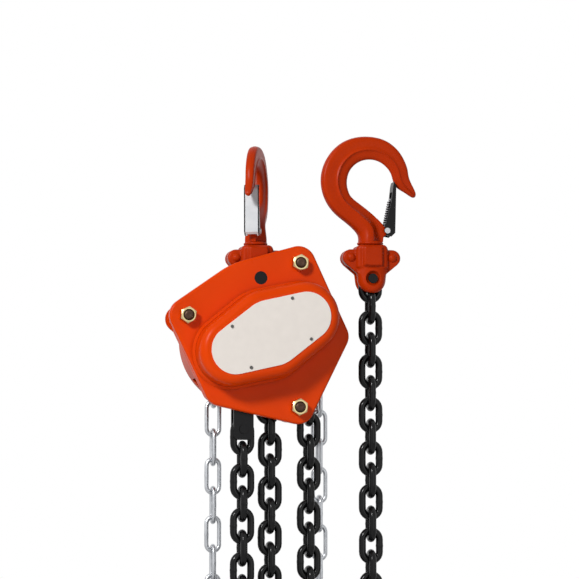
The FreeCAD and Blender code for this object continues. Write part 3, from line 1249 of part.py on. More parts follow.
def rivet_head(station, way, x, z):
    """Domed rivet head, a slice of a ball, that stands on the front or rear of a lug."""
    radius, dome = amount("rivet_head"), amount("rivet_dome")
    ball = (radius * radius + dome * dome) / dome / 2
    whole = Part.makeSphere(ball, Vector(x, -way * (station + dome - ball), z), Vector(0, -way, 0))
    return whole.common(rod(radius, station if way > 0 else -station - dome, dome, x, z))


def check_and_write():
    doc.recompute()
    for feature in doc.Objects:
        if "Invalid" in feature.State or "Error" in feature.State:
            raise RuntimeError(f"{feature.Name} failed: {feature.State}")
    os.makedirs("parts", exist_ok=True)
    for feature in parts:
        shape = feature.Shape
        if shape.isNull() or not shape.isValid() or shape.Volume <= 0:
            raise RuntimeError(f"{feature.Label} has no sound shape")
        shape.exportStep(f"parts/{feature.Label}.step")
        print(f"{feature.Label}: {len(shape.Solids)} solids, {shape.Volume:.0f} mm3")


side_plates()
stay_bolts()
nuts()
gear_cover()
nameplate()
gears()
load_sheave()
brake()
guides()
tail_anchor()
hand_wheel()
hand_wheel_cover()
top_pin()
hook_parts("top", "top_bowl", -amount("top_hook_angle"), 0, "yoke_top")
yoke("top", 0, 0, "yoke_top")
bottom_turn, bottom_x = -amount("bottom_hook_angle"), amount("bottom_hook_x")
hook_parts("bottom", "bottom_bowl", bottom_turn, bottom_x, "bottom_yoke_top")
yoke("bottom", bottom_turn, bottom_x, "bottom_yoke_top", slotted=True)
bundle("load_chain_bundle", load_chain(), amount("wire"), amount("load_bundle_x"), amount("load_bundle_y"),
       amount("load_bundle_length"), amount("load_bundle_left"), amount("load_bundle_front"))
bundle("hand_chain_bundle", hand_chain(), amount("hand_wire"), amount("hand_bundle_x"),
       amount("hand_bundle_y"), amount("hand_bundle_length"), amount("hand_bundle_left"))
check_and_write()
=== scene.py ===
# %% [markdown]
# # A hand chain hoist, dressed in Blender
#
# The hoist comes from CAD as sixty rigid pieces. They already have the right sizes and places, so
# this lesson gives them what CAD leaves out: paint and plating that look real, chain links bent
# from round wire, and forged hooks with soft edges. One option is to model the whole hoist again
# in Blender. Dressing the CAD pieces is better, because every piece then moves with its joint.

# %% Load the frame
import math

import bmesh
import bpy
import numpy as np
from mathutils import Matrix, Vector
from mathutils.geometry import convex_hull_2d


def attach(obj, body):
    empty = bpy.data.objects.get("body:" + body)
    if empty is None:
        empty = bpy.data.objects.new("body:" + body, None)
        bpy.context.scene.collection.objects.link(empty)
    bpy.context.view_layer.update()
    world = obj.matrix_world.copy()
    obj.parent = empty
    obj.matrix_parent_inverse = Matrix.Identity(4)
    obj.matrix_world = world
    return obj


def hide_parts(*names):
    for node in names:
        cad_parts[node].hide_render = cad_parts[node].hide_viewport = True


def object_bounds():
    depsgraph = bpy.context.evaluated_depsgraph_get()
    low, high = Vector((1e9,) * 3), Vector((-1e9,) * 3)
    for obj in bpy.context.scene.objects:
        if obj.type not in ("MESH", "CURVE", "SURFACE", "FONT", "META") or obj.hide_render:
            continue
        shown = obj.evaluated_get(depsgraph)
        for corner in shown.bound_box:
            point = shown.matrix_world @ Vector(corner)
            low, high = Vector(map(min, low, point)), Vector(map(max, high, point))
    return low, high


MM = 0.001
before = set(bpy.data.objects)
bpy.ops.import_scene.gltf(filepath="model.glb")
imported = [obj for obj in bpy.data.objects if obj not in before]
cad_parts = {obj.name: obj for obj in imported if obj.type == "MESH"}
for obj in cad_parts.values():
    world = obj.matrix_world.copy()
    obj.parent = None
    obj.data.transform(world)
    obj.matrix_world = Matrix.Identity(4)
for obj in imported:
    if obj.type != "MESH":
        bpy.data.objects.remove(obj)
cad_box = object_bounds()
print("CAD nodes:", len(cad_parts))


# %% [markdown]
# ## Colour and shader helpers
#
# Hex colours from a paint chart are sRGB, and Blender's shaders work with linear light, so one
# function converts them. A second one adds a node, fills in its settings and joins its inputs,
# which keeps every material below short enough to read. Some sockets share a name or have none, and
# those are given by their number, as in _7 for the eighth.

# %% Helpers for colours and nodes
def linear(hex_colour):
    """Linear RGBA for a paint-chart colour such as "E0480F"."""
    parts = [int(hex_colour[place:place + 2], 16) / 255 for place in (0, 2, 4)]
    return [p / 12.92 if p <= 0.04045 else ((p + 0.055) / 1.055) ** 2.4 for p in parts] + [1]


def add_node(tree, kind, settings=None, **inputs):
    """Adds a shader node; an input is a value or another node's output socket."""
    node = tree.nodes.new(kind)
    for key, value in (settings or {}).items():
        setattr(node, key, value)
    for key, value in inputs.items():
        socket = node.inputs[int(key[1:]) if key[1:].isdigit() else key.replace("_", " ")]
        if isinstance(value, bpy.types.NodeSocket):
            tree.links.new(value, socket)
        else:
            socket.default_value = value
    return node


def new_material(name):
    """Empty node material with its object-space coordinates, in metres."""
    material = bpy.data.materials.new(name)
    material.use_nodes = True
    tree = material.node_tree
    tree.nodes.clear()
    place = add_node(tree, "ShaderNodeTexCoord").outputs["Object"]
    return material, tree, place


def finish_material(tree, surface):
    """Joins the last shader of a material to its output."""
    out = add_node(tree, "ShaderNodeOutputMaterial")
    tree.links.new(surface.outputs[0], out.inputs["Surface"])


# %% [markdown]
# ## Sprayed enamel
#
# The body and both hooks carry gloss enamel sprayed over steel. Sprayed enamel flows out into a
# faint orange peel of about 2 mm, and its colour is a little deeper where the coat is thick. A
# plain glossy colour would do from afar. Soft noises for the peel, the casting's grain and the depth
# of colour make it hold up close to the camera. Ambient occlusion darkens the colour within a few
# millimetres of a crease, as painted shade in the corners.

# %% Sprayed enamel
PEEL_MM, PEEL_HEIGHT_MM = 2.2, 0.2
CLOUD_MM = 45
# How far a crease darkens its sides, how open a corner is where the shading ends, and its shade
CREASE_MM, CREASE_CLOSED, CREASE_OPEN, CREASE_SHADE = 5, 0.45, 0.95, 0.42
# Roughness gained from the smoothest to the dullest spot
DULLING = 0.12


def sprayed_enamel(name, light, deep, grain_mm, grain_height, shine):
    """Gloss enamel between two shades, over a surface with its own grain."""
    material, tree, place = new_material(name)
    cloud = add_node(tree, "ShaderNodeTexNoise", Vector=place, Scale=1 / (CLOUD_MM * MM), Detail=3.0)
    shade = add_node(tree, "ShaderNodeMix", {"data_type": "RGBA"}, _0=cloud.outputs[0],
                     _6=linear(deep), _7=linear(light))
    peel = add_node(tree, "ShaderNodeTexNoise", Vector=place, Scale=1 / (PEEL_MM * MM), Detail=1.0)
    grain = add_node(tree, "ShaderNodeTexNoise", Vector=place, Scale=1 / (grain_mm * MM), Detail=4.0)
    bump = add_node(tree, "ShaderNodeBump", Height=peel.outputs[0], Strength=0.06,
                    Distance=PEEL_HEIGHT_MM * MM)
    bump = add_node(tree, "ShaderNodeBump", Height=grain.outputs[0], Strength=0.5,
                    Distance=grain_height * MM, Normal=bump.outputs[0])
    rough = add_node(tree, "ShaderNodeMapRange", Value=grain.outputs[0], _3=shine, _4=shine + DULLING)
    # Painted shade: ambient occlusion darkens the enamel's colour near creases
    hollow = add_node(tree, "ShaderNodeAmbientOcclusion", {"samples": 8, "only_local": True},
                      Distance=CREASE_MM * MM)
    painted_crease_shade = add_node(tree, "ShaderNodeMapRange", Value=hollow.outputs["AO"], _1=CREASE_CLOSED,
                      _2=CREASE_OPEN, _3=CREASE_SHADE, _4=1.0)
    shade = add_node(tree, "ShaderNodeMix", {"data_type": "RGBA", "blend_type": "MULTIPLY"}, _0=1.0,
                     _6=shade.outputs[2], _7=painted_crease_shade.outputs[0])
    enamel = add_node(tree, "ShaderNodeBsdfPrincipled", Base_Color=shade.outputs[2], IOR=1.45,
                      Roughness=rough.outputs[0], Normal=bump.outputs[0], Specular_IOR_Level=0.1)
    finish_material(tree, enamel)
    return material


# On pressed sheet the enamel lies smooth and bright
body_enamel = sprayed_enamel("body_enamel", "F24A04", "DA3C01", 9, 0.05, 0.24)
# The forgings are darker and duller, with the skin of the die showing through
hook_enamel = sprayed_enamel("hook_enamel", "CC3A05", "A82801", 5, 0.22, 0.28)
# The cover of the hand wheel is pressed too, and its paint is made a little deeper as painted shade, since
# it sits in shadow behind the body
shaded_cover_enamel = sprayed_enamel("wheel_cover_enamel", "E04606", "C43603", 9, 0.05, 0.26)


# %% [markdown]
# ## Plated and blackened steel
#
# Nuts are zinc plated and passivated yellow, the hand chain is bright zinc, and the load chain is
# blackened so that it takes oil. Bare and zinc plated steel are metallic. Blackening, browning,
# paint and lining hide the metal, so they are left unmetallic or half so, and only their gloss
# shines. The coats are uneven at the scale of a few millimetres, which one noise shows in the
# colour and in the roughness when the piece turns in the light.

# %% Plated and blackened steel
PLATING_MM = 6


def plated_steel(name, light, deep, rough_low, rough_high, metallic=1.0, bump_mm=0.03, gloss=0.5):
    """Thin coat on steel, patchy between two shades and two values of roughness."""
    material, tree, place = new_material(name)
    patch = add_node(tree, "ShaderNodeTexNoise", Vector=place, Scale=1 / (PLATING_MM * MM), Detail=4.0)
    shade = add_node(tree, "ShaderNodeMix", {"data_type": "RGBA"}, _0=patch.outputs[0],
                     _6=linear(deep), _7=linear(light))
    rough = add_node(tree, "ShaderNodeMapRange", Value=patch.outputs[0], _3=rough_low, _4=rough_high)
    bump = add_node(tree, "ShaderNodeBump", Height=patch.outputs[0], Strength=0.4, Distance=bump_mm * MM)
    steel = add_node(tree, "ShaderNodeBsdfPrincipled", Base_Color=shade.outputs[2], Metallic=metallic,
                     Roughness=rough.outputs[0], Normal=bump.outputs[0], Specular_IOR_Level=gloss)
    finish_material(tree, steel)
    return material


# Straw yellow with grey-green patches, and a soft metal shine
yellow_zinc = plated_steel("yellow_passivated_zinc", "D8CBA0", "A08A58", 0.2, 0.4)
# Dark chocolate steel that shines only along its edges
brown_bolt = plated_steel("browned_bolt_steel", "5A4030", "22160E", 0.3, 0.55, 0.6)
# Cool light grey that mirrors the white room
bright_zinc = plated_steel("bright_zinc", "D6D8DB", "9DA0A5", 0.22, 0.42)
# Satin black, almost without highlights
black_oxide = plated_steel("black_oxide_steel", "121214", "060607", 0.2, 0.38, 0.0, gloss=0.14)
# Black, oily and smooth, with a thin highlight along each wire
chain_black = plated_steel("blackened_chain_steel", "141415", "050506", 0.1, 0.3, 0.0, 0.08, 0.2)
# Plain grey metal fresh from the lathe
machined_steel = plated_steel("machined_steel", "A8A8AA", "85868A", 0.3, 0.5)
# Milky white zinc flake, which stays pale from every side
galvanised_latch = plated_steel("bright_latch_steel", "E4E6E8", "C9CCD0", 0.35, 0.5, 0.0, gloss=0.3)
# Dull brown resin and fibre
friction_lining = plated_steel("woven_brake_lining", "4A3A30", "2E2622", 0.75, 0.95, 0.0)
# Grey steel gone dull, so that the rivets stand out as dark dots
rivet_steel = plated_steel("dull_rivet_steel", "6E6C69", "2C2A28", 0.3, 0.5, 0.5)
# Moulded black plastic with a slight sheen
nylon = plated_steel("black_nylon", "2A2A2C", "1C1C1E", 0.4, 0.55, 0.0, gloss=0.3)
# Warm silver-white of anodised alloy, too matt to mirror anything
nameplate_alloy = plated_steel("anodised_nameplate", "FAF2EA", "F0E8E0", 0.4, 0.55, 0.0, gloss=0.2)

# %% [markdown]
# ## Give every CAD piece its finish
#
# Each CAD node has one material slot. Looping over a table of node names and finishes is quicker
# and safer than picking objects by hand, and a missing name stops the script at once.

# %% Finishes of the CAD pieces
FINISHES = (
    (body_enamel, "gear_side_plate wheel_side_plate gear_cover"),
    # The hand wheel's cover takes the enamel that is deepened as painted shade
    (shaded_cover_enamel, "hand_wheel_cover"),
    (hook_enamel, "top_hook top_yoke_front top_yoke_rear top_yoke_rivets bottom_hook bottom_yoke_front "
                  "bottom_yoke_rear bottom_yoke_rivets"),
    (yellow_zinc, "front_nuts rear_nuts hand_wheel wheel_nut"),
    (brown_bolt, "stay_bolts"),
    (nameplate_alloy, "nameplate"),
    (rivet_steel, "nameplate_rivets"),
    (machined_steel, "load_gear disc_gear_left disc_gear_right drive_shaft load_sheave sheave_bearings "
                     "brake_hub ratchet_wheel pawl_upper pawl_lower pawl_pins pawl_springs "
                     "guide_roller_right guide_roller_left guide_roller_pins chain_stripper top_hook_nut "
                     "bottom_hook_nut top_latch_spring bottom_latch_spring"),
    (galvanised_latch, "top_latch top_latch_pin bottom_latch_pin"),
    (bright_zinc, "hand_chain_wrap hand_chain_right_strand hand_chain_left_strand hand_chain_bundle"),
    (black_oxide, "bottom_latch tail_anchor tail_anchor_pin tail_anchor_stud top_pin chain_pin"),
    (friction_lining, "friction_discs"),
    (chain_black, "load_chain_wrap load_chain_slack_strand load_chain_hook_strand load_chain_load_strand "
                  "load_chain_sag load_chain_tail_strand load_chain_bundle"),
)
for finish, names in FINISHES:
    for name in names.split():
        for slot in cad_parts[name].material_slots:
            slot.material = finish
print("finishes given to", sum(len(names.split()) for finish, names in FINISHES), "nodes")


# %% [markdown]
# ## Chain links
#
# A welded link is a length of round wire bent into a stadium, with a small upset where its ends
# are butt welded on one straight side. CAD keeps each link as a few flat facets. A curve with a
# round bevel could replace it, but a hundred curves are slow, so one link is built as a mesh and
# copied onto every CAD link, whose middle and directions are read from its corners.

# %% One link of round wire
END_STEPS, WIRE_SIDES = 12, 12
# Where along its sides a link has rings of corners, as shares of half a side
WELDED_SIDE, PLAIN_SIDE = (-1, -0.45, -0.2, 0, 0.2, 0.45), (1, 0.4, -0.4)
# How much thicker the wire is at its weld, and how fast it thins from there
WELD_SWELL, WELD_TAPER = 0.07, 3


def link_form(length, across, wire, end_steps=END_STEPS, wire_sides=WIRE_SIDES):
    """Corners and faces of a link that lies in the plane of its first two directions."""
    half = (across - wire) / 2
    knee = (length - wire) / 2 - half
    stations = []
    for share in WELDED_SIDE:
        weld = 1 + WELD_SWELL * max(0, 1 - abs(share) * WELD_TAPER)
        stations.append((share * knee, half, 0, weld))
    for step in range(end_steps):
        angle = math.pi * step / end_steps
        stations.append((knee + half * math.sin(angle), half * math.cos(angle), angle, 1))
    for share in PLAIN_SIDE:
        stations.append((share * knee, -half, math.pi, 1))
    for step in range(end_steps):
        angle = math.pi * step / end_steps
        stations.append((-knee - half * math.sin(angle), -half * math.cos(angle), math.pi + angle, 1))
    points, faces = [], []
    for along, side, angle, swell in stations:
        out = Vector((math.sin(angle), math.cos(angle), 0))
        for corner in range(wire_sides):
            turn = math.tau * corner / wire_sides
            radius = wire / 2 * swell
            points.append(Vector((along, side, 0)) + out * radius * math.cos(turn)
                          + Vector((0, 0, radius * math.sin(turn))))
    count = len(stations)
    for ring in range(count):
        for corner in range(wire_sides):
            near = ring * wire_sides
            far = (ring + 1) % count * wire_sides
            nxt = (corner + 1) % wire_sides
            faces.append((near + corner, near + nxt, far + nxt, far + corner))
    return points, faces


def islands(node):
    """Corner points of each separate solid in a CAD node, in the same order in every run."""
    mesh = bmesh.new()
    mesh.from_mesh(node.data)
    bmesh.ops.remove_doubles(mesh, verts=mesh.verts, dist=0.01 * MM)
    met, found = set(), []
    for first in mesh.verts:
        if first in met:
            continue
        met.add(first)
        queue, group = [first], []
        while queue:
            vertex = queue.pop()
            group.append(vertex.co.copy())
            for edge in vertex.link_edges:
                other = edge.other_vert(vertex)
                if other not in met:
                    met.add(other)
                    queue.append(other)
        found.append(np.array(group))
    mesh.free()
    return found


def piece(name, points, faces, finish, body, slot_name, *nodes):
    """New smooth mesh object that rides on a body and stands for CAD nodes."""
    data = bpy.data.meshes.new(name)
    data.from_pydata([tuple(p) for p in points], [], faces)
    data.polygons.foreach_set("use_smooth", [True] * len(faces))
    made = bpy.data.objects.new(name, data)
    bpy.context.collection.objects.link(made)
    data.materials.append(finish)
    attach(made, body)
    if nodes:
        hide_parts(*nodes)
    return made


# %% [markdown]
# ## Copy the link onto every CAD link
#
# The corners of one CAD link are spread furthest along it and least through its thickness. The
# three principal directions of the corners therefore give the link's own axes, and this works for
# links that lie at any angle.

# %% Lay the links
def link_places(node):
    """Middle and axes of every link in a CAD node."""
    places = []
    for corners in islands(node):
        middle = corners.mean(axis=0)
        values, axes = np.linalg.eigh(np.cov((corners - middle).T))
        along, side = Vector(axes[:, 2]), Vector(axes[:, 1])
        if along.z < 0:
            along = -along
        places.append((Vector(middle), along, side, along.cross(side)))
    return places


def chain(node_name, length, across, wire, finish, slot_name):
    """Round wire links, with sizes in mm, in the places of a CAD node's links."""
    points, faces = [], []
    form, form_faces = link_form(length * MM, across * MM, wire * MM)
    places = link_places(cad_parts[node_name])
    for middle, along, side, normal in places:
        start = len(points)
        points += [middle + along * p.x + side * p.y + normal * p.z for p in form]
        faces += [tuple(start + corner for corner in face) for face in form_faces]
    print(node_name, len(places), "links")
    return piece(node_name + "_links", points, faces, finish, "frame_body", slot_name, node_name)


# Length, width and wire of a link, in mm
LOAD_LINK, HAND_LINK = (25.5, 17, 5), (26.5, 12, 3)
for strand in ("wrap", "slack_strand", "hook_strand", "load_strand", "sag", "tail_strand"):
    chain("load_chain_" + strand, *LOAD_LINK, chain_black, "load_chain_steel")
for strand in ("wrap", "right_strand", "left_strand"):
    chain("hand_chain_" + strand, *HAND_LINK, bright_zinc, "bright_zinc")

# %% [markdown]
# ## Chain held in reserve
#
# The hoist has far more chain than the picture shows. It is stowed as two hanks: the chain runs up
# and down in rows, and every run ends in a narrow turn of two links. Neighbouring runs then show
# each other a link's edge and a link's face by turns, so they nest closely without touching. Two
# nylon ties hold each hank, and one more link joins it to each of the strands above it.

# %% Joints and links of a hank
def lay_link(form, start, end, side_axis):
    """Corners of one link between two joints, its wide side along an axis."""
    along = (end - start).normalized()
    side = (side_axis - along * side_axis.dot(along)).normalized()
    normal = along.cross(side)
    middle = (start + end) / 2
    return [middle + along * p.x + side * p.y + normal * p.z for p in form]


def run_joints(xs, ys, low, runs, pitch):
    """Joints of a chain that goes up and down over a grid of columns, in mm."""
    top = low + runs * pitch
    grid = [(x, y) for column, x in enumerate(xs) for y in (reversed(ys) if column % 2 else ys)]
    joints = []
    for number, (x, y) in enumerate(grid):
        levels = [top - n * pitch for n in range(runs + 1)]
        if number % 2:
            levels.reverse()
        joints += [Vector((x, y, level)) for level in levels]
        if number + 1 < len(grid):
            ahead = grid[number + 1]
            spread = math.hypot(ahead[0] - x, ahead[1] - y) / 2
            drop = (pitch ** 2 - spread ** 2) ** 0.5
            level = levels[-1] + (drop if number % 2 else -drop)
            joints.append(Vector(((x + ahead[0]) / 2, (y + ahead[1]) / 2, level)))
    return joints


def lead_link(node_name, form, pitch):
    """Corners of the link that takes a hanging strand on into its hank."""
    places = link_places(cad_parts[node_name])
    middle, along, side, normal = min(places, key=lambda place: place[0].z)
    start = middle - Vector((0, 0, pitch / 2 * MM))
    return lay_link(form, start, start - Vector((0, 0, pitch * MM)), normal)


# %% Ties
TIE_HEIGHT, TIE_THICK, TIE_CORNER, TIE_STEPS = 7, 1.2, 4, 10
# Section of a tie: how far out each corner is, and how high as a share of half the height
TIE_SECTION = ((0, 1), (TIE_THICK, 0.8), (TIE_THICK, -0.8), (0, -1))


def ring_faces(rings, corners, closed=False):
    """Quads between neighbouring rings of equal size, and from the last ring to the first."""
    pairs = [(ring * corners, (ring + 1) * corners) for ring in range(rings - 1)]
    if closed:
        pairs.append(((rings - 1) * corners, 0))
    return [(near + corner, far + corner, far + (corner + 1) % corners, near + (corner + 1) % corners)
            for near, far in pairs for corner in range(corners)]


def tie(name, middle, half_x, half_y, slot_name):
    """Nylon band with round corners, pulled tight round a hank."""
    ring = []
    for quarter, (sign_x, sign_y) in enumerate(((1, 1), (-1, 1), (-1, -1), (1, -1))):
        for step in range(TIE_STEPS + 1):
            angle = math.pi / 2 * (quarter + step / TIE_STEPS)
            ring.append((sign_x * (half_x - TIE_CORNER), sign_y * (half_y - TIE_CORNER), angle))
    points = []
    for out, up in TIE_SECTION:
        for x, y, angle in ring:
            points.append((middle + Vector((x + (TIE_CORNER + out) * math.cos(angle),
                                            y + (TIE_CORNER + out) * math.sin(angle),
                                            up * TIE_HEIGHT / 2))) * MM)
    return piece(name, points, ring_faces(len(TIE_SECTION), len(ring), closed=True), nylon, "frame_body",
                 slot_name)


# %% Lay the hanks
# The hanks have hundreds of links, so each has fewer corners than a link that the camera sees
HANK_END_STEPS, HANK_WIRE_SIDES = 5, 8
# Heights of the two ties, as shares of the hank's block
TIE_SHARES = (0.3, 0.7)


def hank(node_name, strands, link, pitch, columns, rows, spacing, finish, slot_name):
    """Folded chain in the place of a CAD block, joined to the strands above it; sizes in mm."""
    length, across, wire = link
    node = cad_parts[node_name]
    corners = np.array([node.matrix_world @ vertex.co for vertex in node.data.vertices]) / MM
    low, high = corners.min(axis=0), corners.max(axis=0)
    middle = (low + high) / 2
    xs = [middle[0] + spacing * ((columns - 1) / 2 - n) for n in range(columns)]
    ys = [middle[1] + spacing * ((rows - 1) / 2 - n) for n in range(rows)]
    overhang = (length - pitch) / 2 + (pitch ** 2 - spacing ** 2 / 4) ** 0.5
    runs = int((high[2] - low[2] - 2 * overhang) / pitch)
    form, form_faces = link_form(length * MM, across * MM, wire * MM, HANK_END_STEPS, HANK_WIRE_SIDES)
    joints = [joint * MM for joint in run_joints(xs, ys, high[2] - overhang - runs * pitch, runs, pitch)]
    links = [lay_link(form, start, end, Vector((1, 0, 0)) if number % 2 else Vector((0, 1, 0)))
             for number, (start, end) in enumerate(zip(joints, joints[1:]))]
    links += [lead_link(strand, form, pitch) for strand in strands]
    points = [corner for link_points in links for corner in link_points]
    faces = [tuple(first + corner for corner in face) for first in range(0, len(points), len(form))
             for face in form_faces]
    print(node_name, len(joints) - 1, "links in", columns * rows, "runs of", runs)
    piece(node_name + "_hank", points, faces, finish, "frame_body", slot_name, node_name)
    half_x = (xs[0] - xs[-1]) / 2 + across / 2
    half_y = (ys[0] - ys[-1]) / 2 + across / 2
    for share in TIE_SHARES:
        level = low[2] + (high[2] - low[2]) * share
        tie(f"{node_name}_tie_{share}", Vector((middle[0], middle[1], level)), half_x, half_y, slot_name)


hank("load_chain_bundle", ("load_chain_tail_strand", "load_chain_slack_strand"), LOAD_LINK, pitch=15,
     columns=4, rows=3, spacing=11.6, finish=chain_black, slot_name="load_chain_steel")
hank("hand_chain_bundle", ("hand_chain_left_strand", "hand_chain_right_strand"), HAND_LINK, pitch=20.5,
     columns=11, rows=3, spacing=8.0, finish=bright_zinc, slot_name="bright_zinc")

# %% [markdown]
# ## Forged hooks
#
# A lifting hook is drop forged: the steel is squeezed between two dies, so its section is a flat
# band outside, a raised line, and a slope towards the bowl, and every edge is soft. A bevelled
# curve could only give one section all along. Here each section is a ring of corners, the rings
# are joined into a cage, and a subdivision surface rounds the cage. Such a surface shrinks away
# from its cage, so the cage is first worked out backwards from the points it has to pass through.

# %% Shape of a hook
# Outer edge x and z, inner edge x and z, half thickness, as shares of the bowl radius
HOOK_SHARES = (
    (2.03, -0.47, 1.88, -0.64, 0.14), (1.83, -0.08, 1.48, -0.36, 0.18),
    (1.68, 0.28, 1.10, -0.10, 0.20), (1.62, 0.62, 0.95, 0.30, 0.21),
    (1.47, 1.02, 0.80, 0.60, 0.22), (1.16, 1.47, 0.55, 0.835, 0.23),
    (0.62, 1.84, 0.27, 0.963, 0.24), (-0.05, 1.97, -0.02, 1.0, 0.25),
    (-0.70, 1.90, -0.34, 0.94, 0.26), (-1.30, 1.62, -0.62, 0.785, 0.27),
    (-1.79, 1.10, -0.85, 0.53, 0.27), (-2.07, 0.45, -0.97, 0.22, 0.28),
    (-2.09, -0.22, -0.99, -0.10, 0.28), (-1.88, -0.84, -0.92, -0.40, 0.29),
    (-1.50, -1.33, -0.76, -0.65, 0.31), (-1.06, -1.68, -0.36, -0.96, 0.34),
    (-0.72, -1.97, 0.10, -1.32, 0.40), (-0.53, -2.22, 0.42, -1.68, 0.46),
    (-0.50, -2.45, 0.50, -2.10, 0.50), (-0.50, -2.60, 0.50, -2.60, 0.50))
# Front of a section from its outer to its inner edge: in the bowl, then where the latch web starts
BAND_SHARES = ((0.95, 0.50), (0.80, 0.88), (0.40, 0.96), (0, 0.95), (-0.20, 1.03), (-0.40, 0.82),
               (-0.76, 0.58), (-0.96, 0.27))
STEM_SHARES = ((0.95, 0.36), (0.80, 0.66), (0.50, 0.92), (0.20, 1), (-0.10, 0.90), (-0.36, 0.55),
               (-0.60, 0.28), (-0.95, 0.18))
# How far each ring has changed from the first section to the second
STEM_WEIGHTS = (0,) * 14 + (0.15, 0.45, 0.8, 1, 1, 1)
# The neck's foot below the bowl's middle, as a share of the bowl
NECK_SHARE = 2.64
# Which corner of a section lies on the raised line, and how crisp that line stays
RIDGE_CORNER, RIDGE_CREASE = 5, 0.45


# %% Sections and cage
def hook_frame(bowl, turn, x, yoke_top):
    """Place of a hook: its bowl's middle, with the tip towards local X."""
    return Matrix.Translation((x * MM, 0, (bowl * NECK_SHARE - yoke_top) * MM)) @ Matrix.Rotation(
        math.radians(turn), 4, "Z")


def section_ring(weight):
    """Corners round a whole section, as shares across it and through it."""
    front = [tuple(band + (stem - band) * weight for band, stem in zip(*pair))
             for pair in zip(BAND_SHARES, STEM_SHARES)]
    return [(1, 0)] + front + [(-1, 0)] + [(across, -through) for across, through in reversed(front)]


def cage_through(grid):
    """Cage whose subdivision surface passes through a grid of rings by corners."""
    rings, corners = grid.shape[:2]
    along, around = np.eye(rings), np.zeros((corners, corners))
    for ring in range(1, rings - 1):
        along[ring, ring - 1:ring + 2] = 1 / 6, 4 / 6, 1 / 6
    for corner in range(corners):
        around[corner, corner] = 4 / 6
        around[corner, corner - 1] = around[corner, (corner + 1) % corners] = 1 / 6
    cage = np.tensordot(np.linalg.inv(along), grid, axes=(1, 0))
    return np.tensordot(np.linalg.inv(around), cage, axes=(1, 1)).transpose(1, 0, 2)


# %% Forge the hooks
def crease_lines(made, count, corners, amount):
    """Keeps the die's lines along a forging a little crisper than the rest."""
    mesh = bmesh.new()
    mesh.from_mesh(made.data)
    crease = mesh.edges.layers.float.new("crease_edge")
    for edge in mesh.edges:
        first, second = (vertex.index for vertex in edge.verts)
        if first % count == second % count and first % count in corners:
            edge[crease] = amount
        if first // count == second // count == len(HOOK_SHARES) - 1:
            edge[crease] = 1
    mesh.to_mesh(made.data)
    mesh.free()


def forged_hook(end, bowl, *spot):
    """Hook of a bowl radius in mm, in place of the CAD hook."""
    place = hook_frame(bowl, *spot)
    rows = []
    for (outer_x, outer_z, inner_x, inner_z, half), weight in zip(HOOK_SHARES, STEM_WEIGHTS):
        outer, inner = Vector((outer_x, 0, outer_z)), Vector((inner_x, 0, inner_z))
        middle, across = (outer + inner) / 2, (outer - inner) / 2
        rows.append([middle + across * share_across + Vector((0, half * share_through, 0))
                     for share_across, share_through in section_ring(weight)])
    count = len(rows[0])
    points = [place @ (Vector(corner) * bowl * MM) for corner in cage_through(np.array(rows)).reshape(-1, 3)]
    faces = ring_faces(len(rows), count)
    faces.append(tuple(range(count)))
    faces.append(tuple(reversed(range(len(points) - count, len(points)))))
    hook = piece(end + "_hook_forging", points, faces, hook_enamel, end + "_hook_body", "hook_paint",
                 end + "_hook")
    crease_lines(hook, count, (RIDGE_CORNER, count - RIDGE_CORNER), RIDGE_CREASE)
    forging = hook.modifiers.new("soft forging", "SUBSURF")
    forging.levels, forging.render_levels = 2, 3
    print(hook.name, len(rows), "sections of", count, "corners")


# Bowl radius in mm, turn in degrees, and the yoke's middle and depth in mm
HOOKS = {"top": (15, -113, 0, 54.6), "bottom": (16.6, -2.1, 81.7, 52.3)}
for end, spot in HOOKS.items():
    forged_hook(end, *spot)


# %% [markdown]
# ## Latch web, collar and stem
#
# Beside its neck the forging has a thin web that carries the latch pin, and below the neck a
# collar that turns on the yoke. The web is a plate, so its outline is extruded and bevelled. The
# collar and the stem below it are turned on a lathe, so their profile is spun.

# %% Latch web, collar and stem
WEB_SHARES = ((0.02, -1.42), (0.30, -1.50), (0.48, -1.68), (0.60, -1.84), (0.72, -1.89), (0.81, -1.96),
              (0.83, -2.05), (0.78, -2.14), (0.66, -2.19), (0.56, -2.28), (0.54, -2.50), (0.02, -2.50))
WEB_HALF, WEB_EDGE = 1.8, 0.6
COLLAR_SHARES = ((0.02, -2.44), (0.40, -2.46), (0.47, -2.49), (0.53, -2.515), (0.555, -2.55), (0.54, -2.60),
                 (0.48, -2.625))
STEM_RADIUS, STEM_LENGTH, STEM_CHAMFER = 5.4, 10.6, 1
# A spun profile ends this near its axis
POLE = 0.2
TURNED_STEPS = 40


def latch_web(end, bowl, *spot):
    """Thin plate between a hook's neck and its latch pin."""
    place = hook_frame(bowl, *spot)
    outline = [Vector((web_x, 0, web_z)) * bowl * MM for web_x, web_z in WEB_SHARES]
    through = Vector((0, WEB_HALF * MM, 0))
    points = [place @ (corner + side * through) for side in (1, -1) for corner in outline]
    count = len(outline)
    faces = [tuple(range(count)), tuple(reversed(range(count, 2 * count)))]
    faces += [(n, n + count, (n + 1) % count + count, (n + 1) % count) for n in range(count)]
    web = piece(end + "_hook_web", points, faces, hook_enamel, end + "_hook_body", "hook_paint")
    web.data.polygons.foreach_set("use_smooth", [False] * len(faces))
    bevel = web.modifiers.new("soft edge", "BEVEL")
    bevel.width, bevel.segments = WEB_EDGE * MM, 3


def turned(name, profile, place, finish, body, slot_name, *nodes, sides=TURNED_STEPS):
    """Solid spun from radius and height pairs in mm, from one pole on its axis to the other."""
    points = []
    for radius, height in profile:
        points += [place @ (Vector((radius * math.cos(math.tau * step / sides),
                                    radius * math.sin(math.tau * step / sides), height)) * MM)
                   for step in range(sides)]
    faces = [tuple(reversed(face)) for face in ring_faces(len(profile), sides)]
    faces += [tuple(reversed(range(sides))), tuple(range(len(points) - sides, len(points)))]
    return piece(name, points, faces, finish, body, slot_name, *nodes)


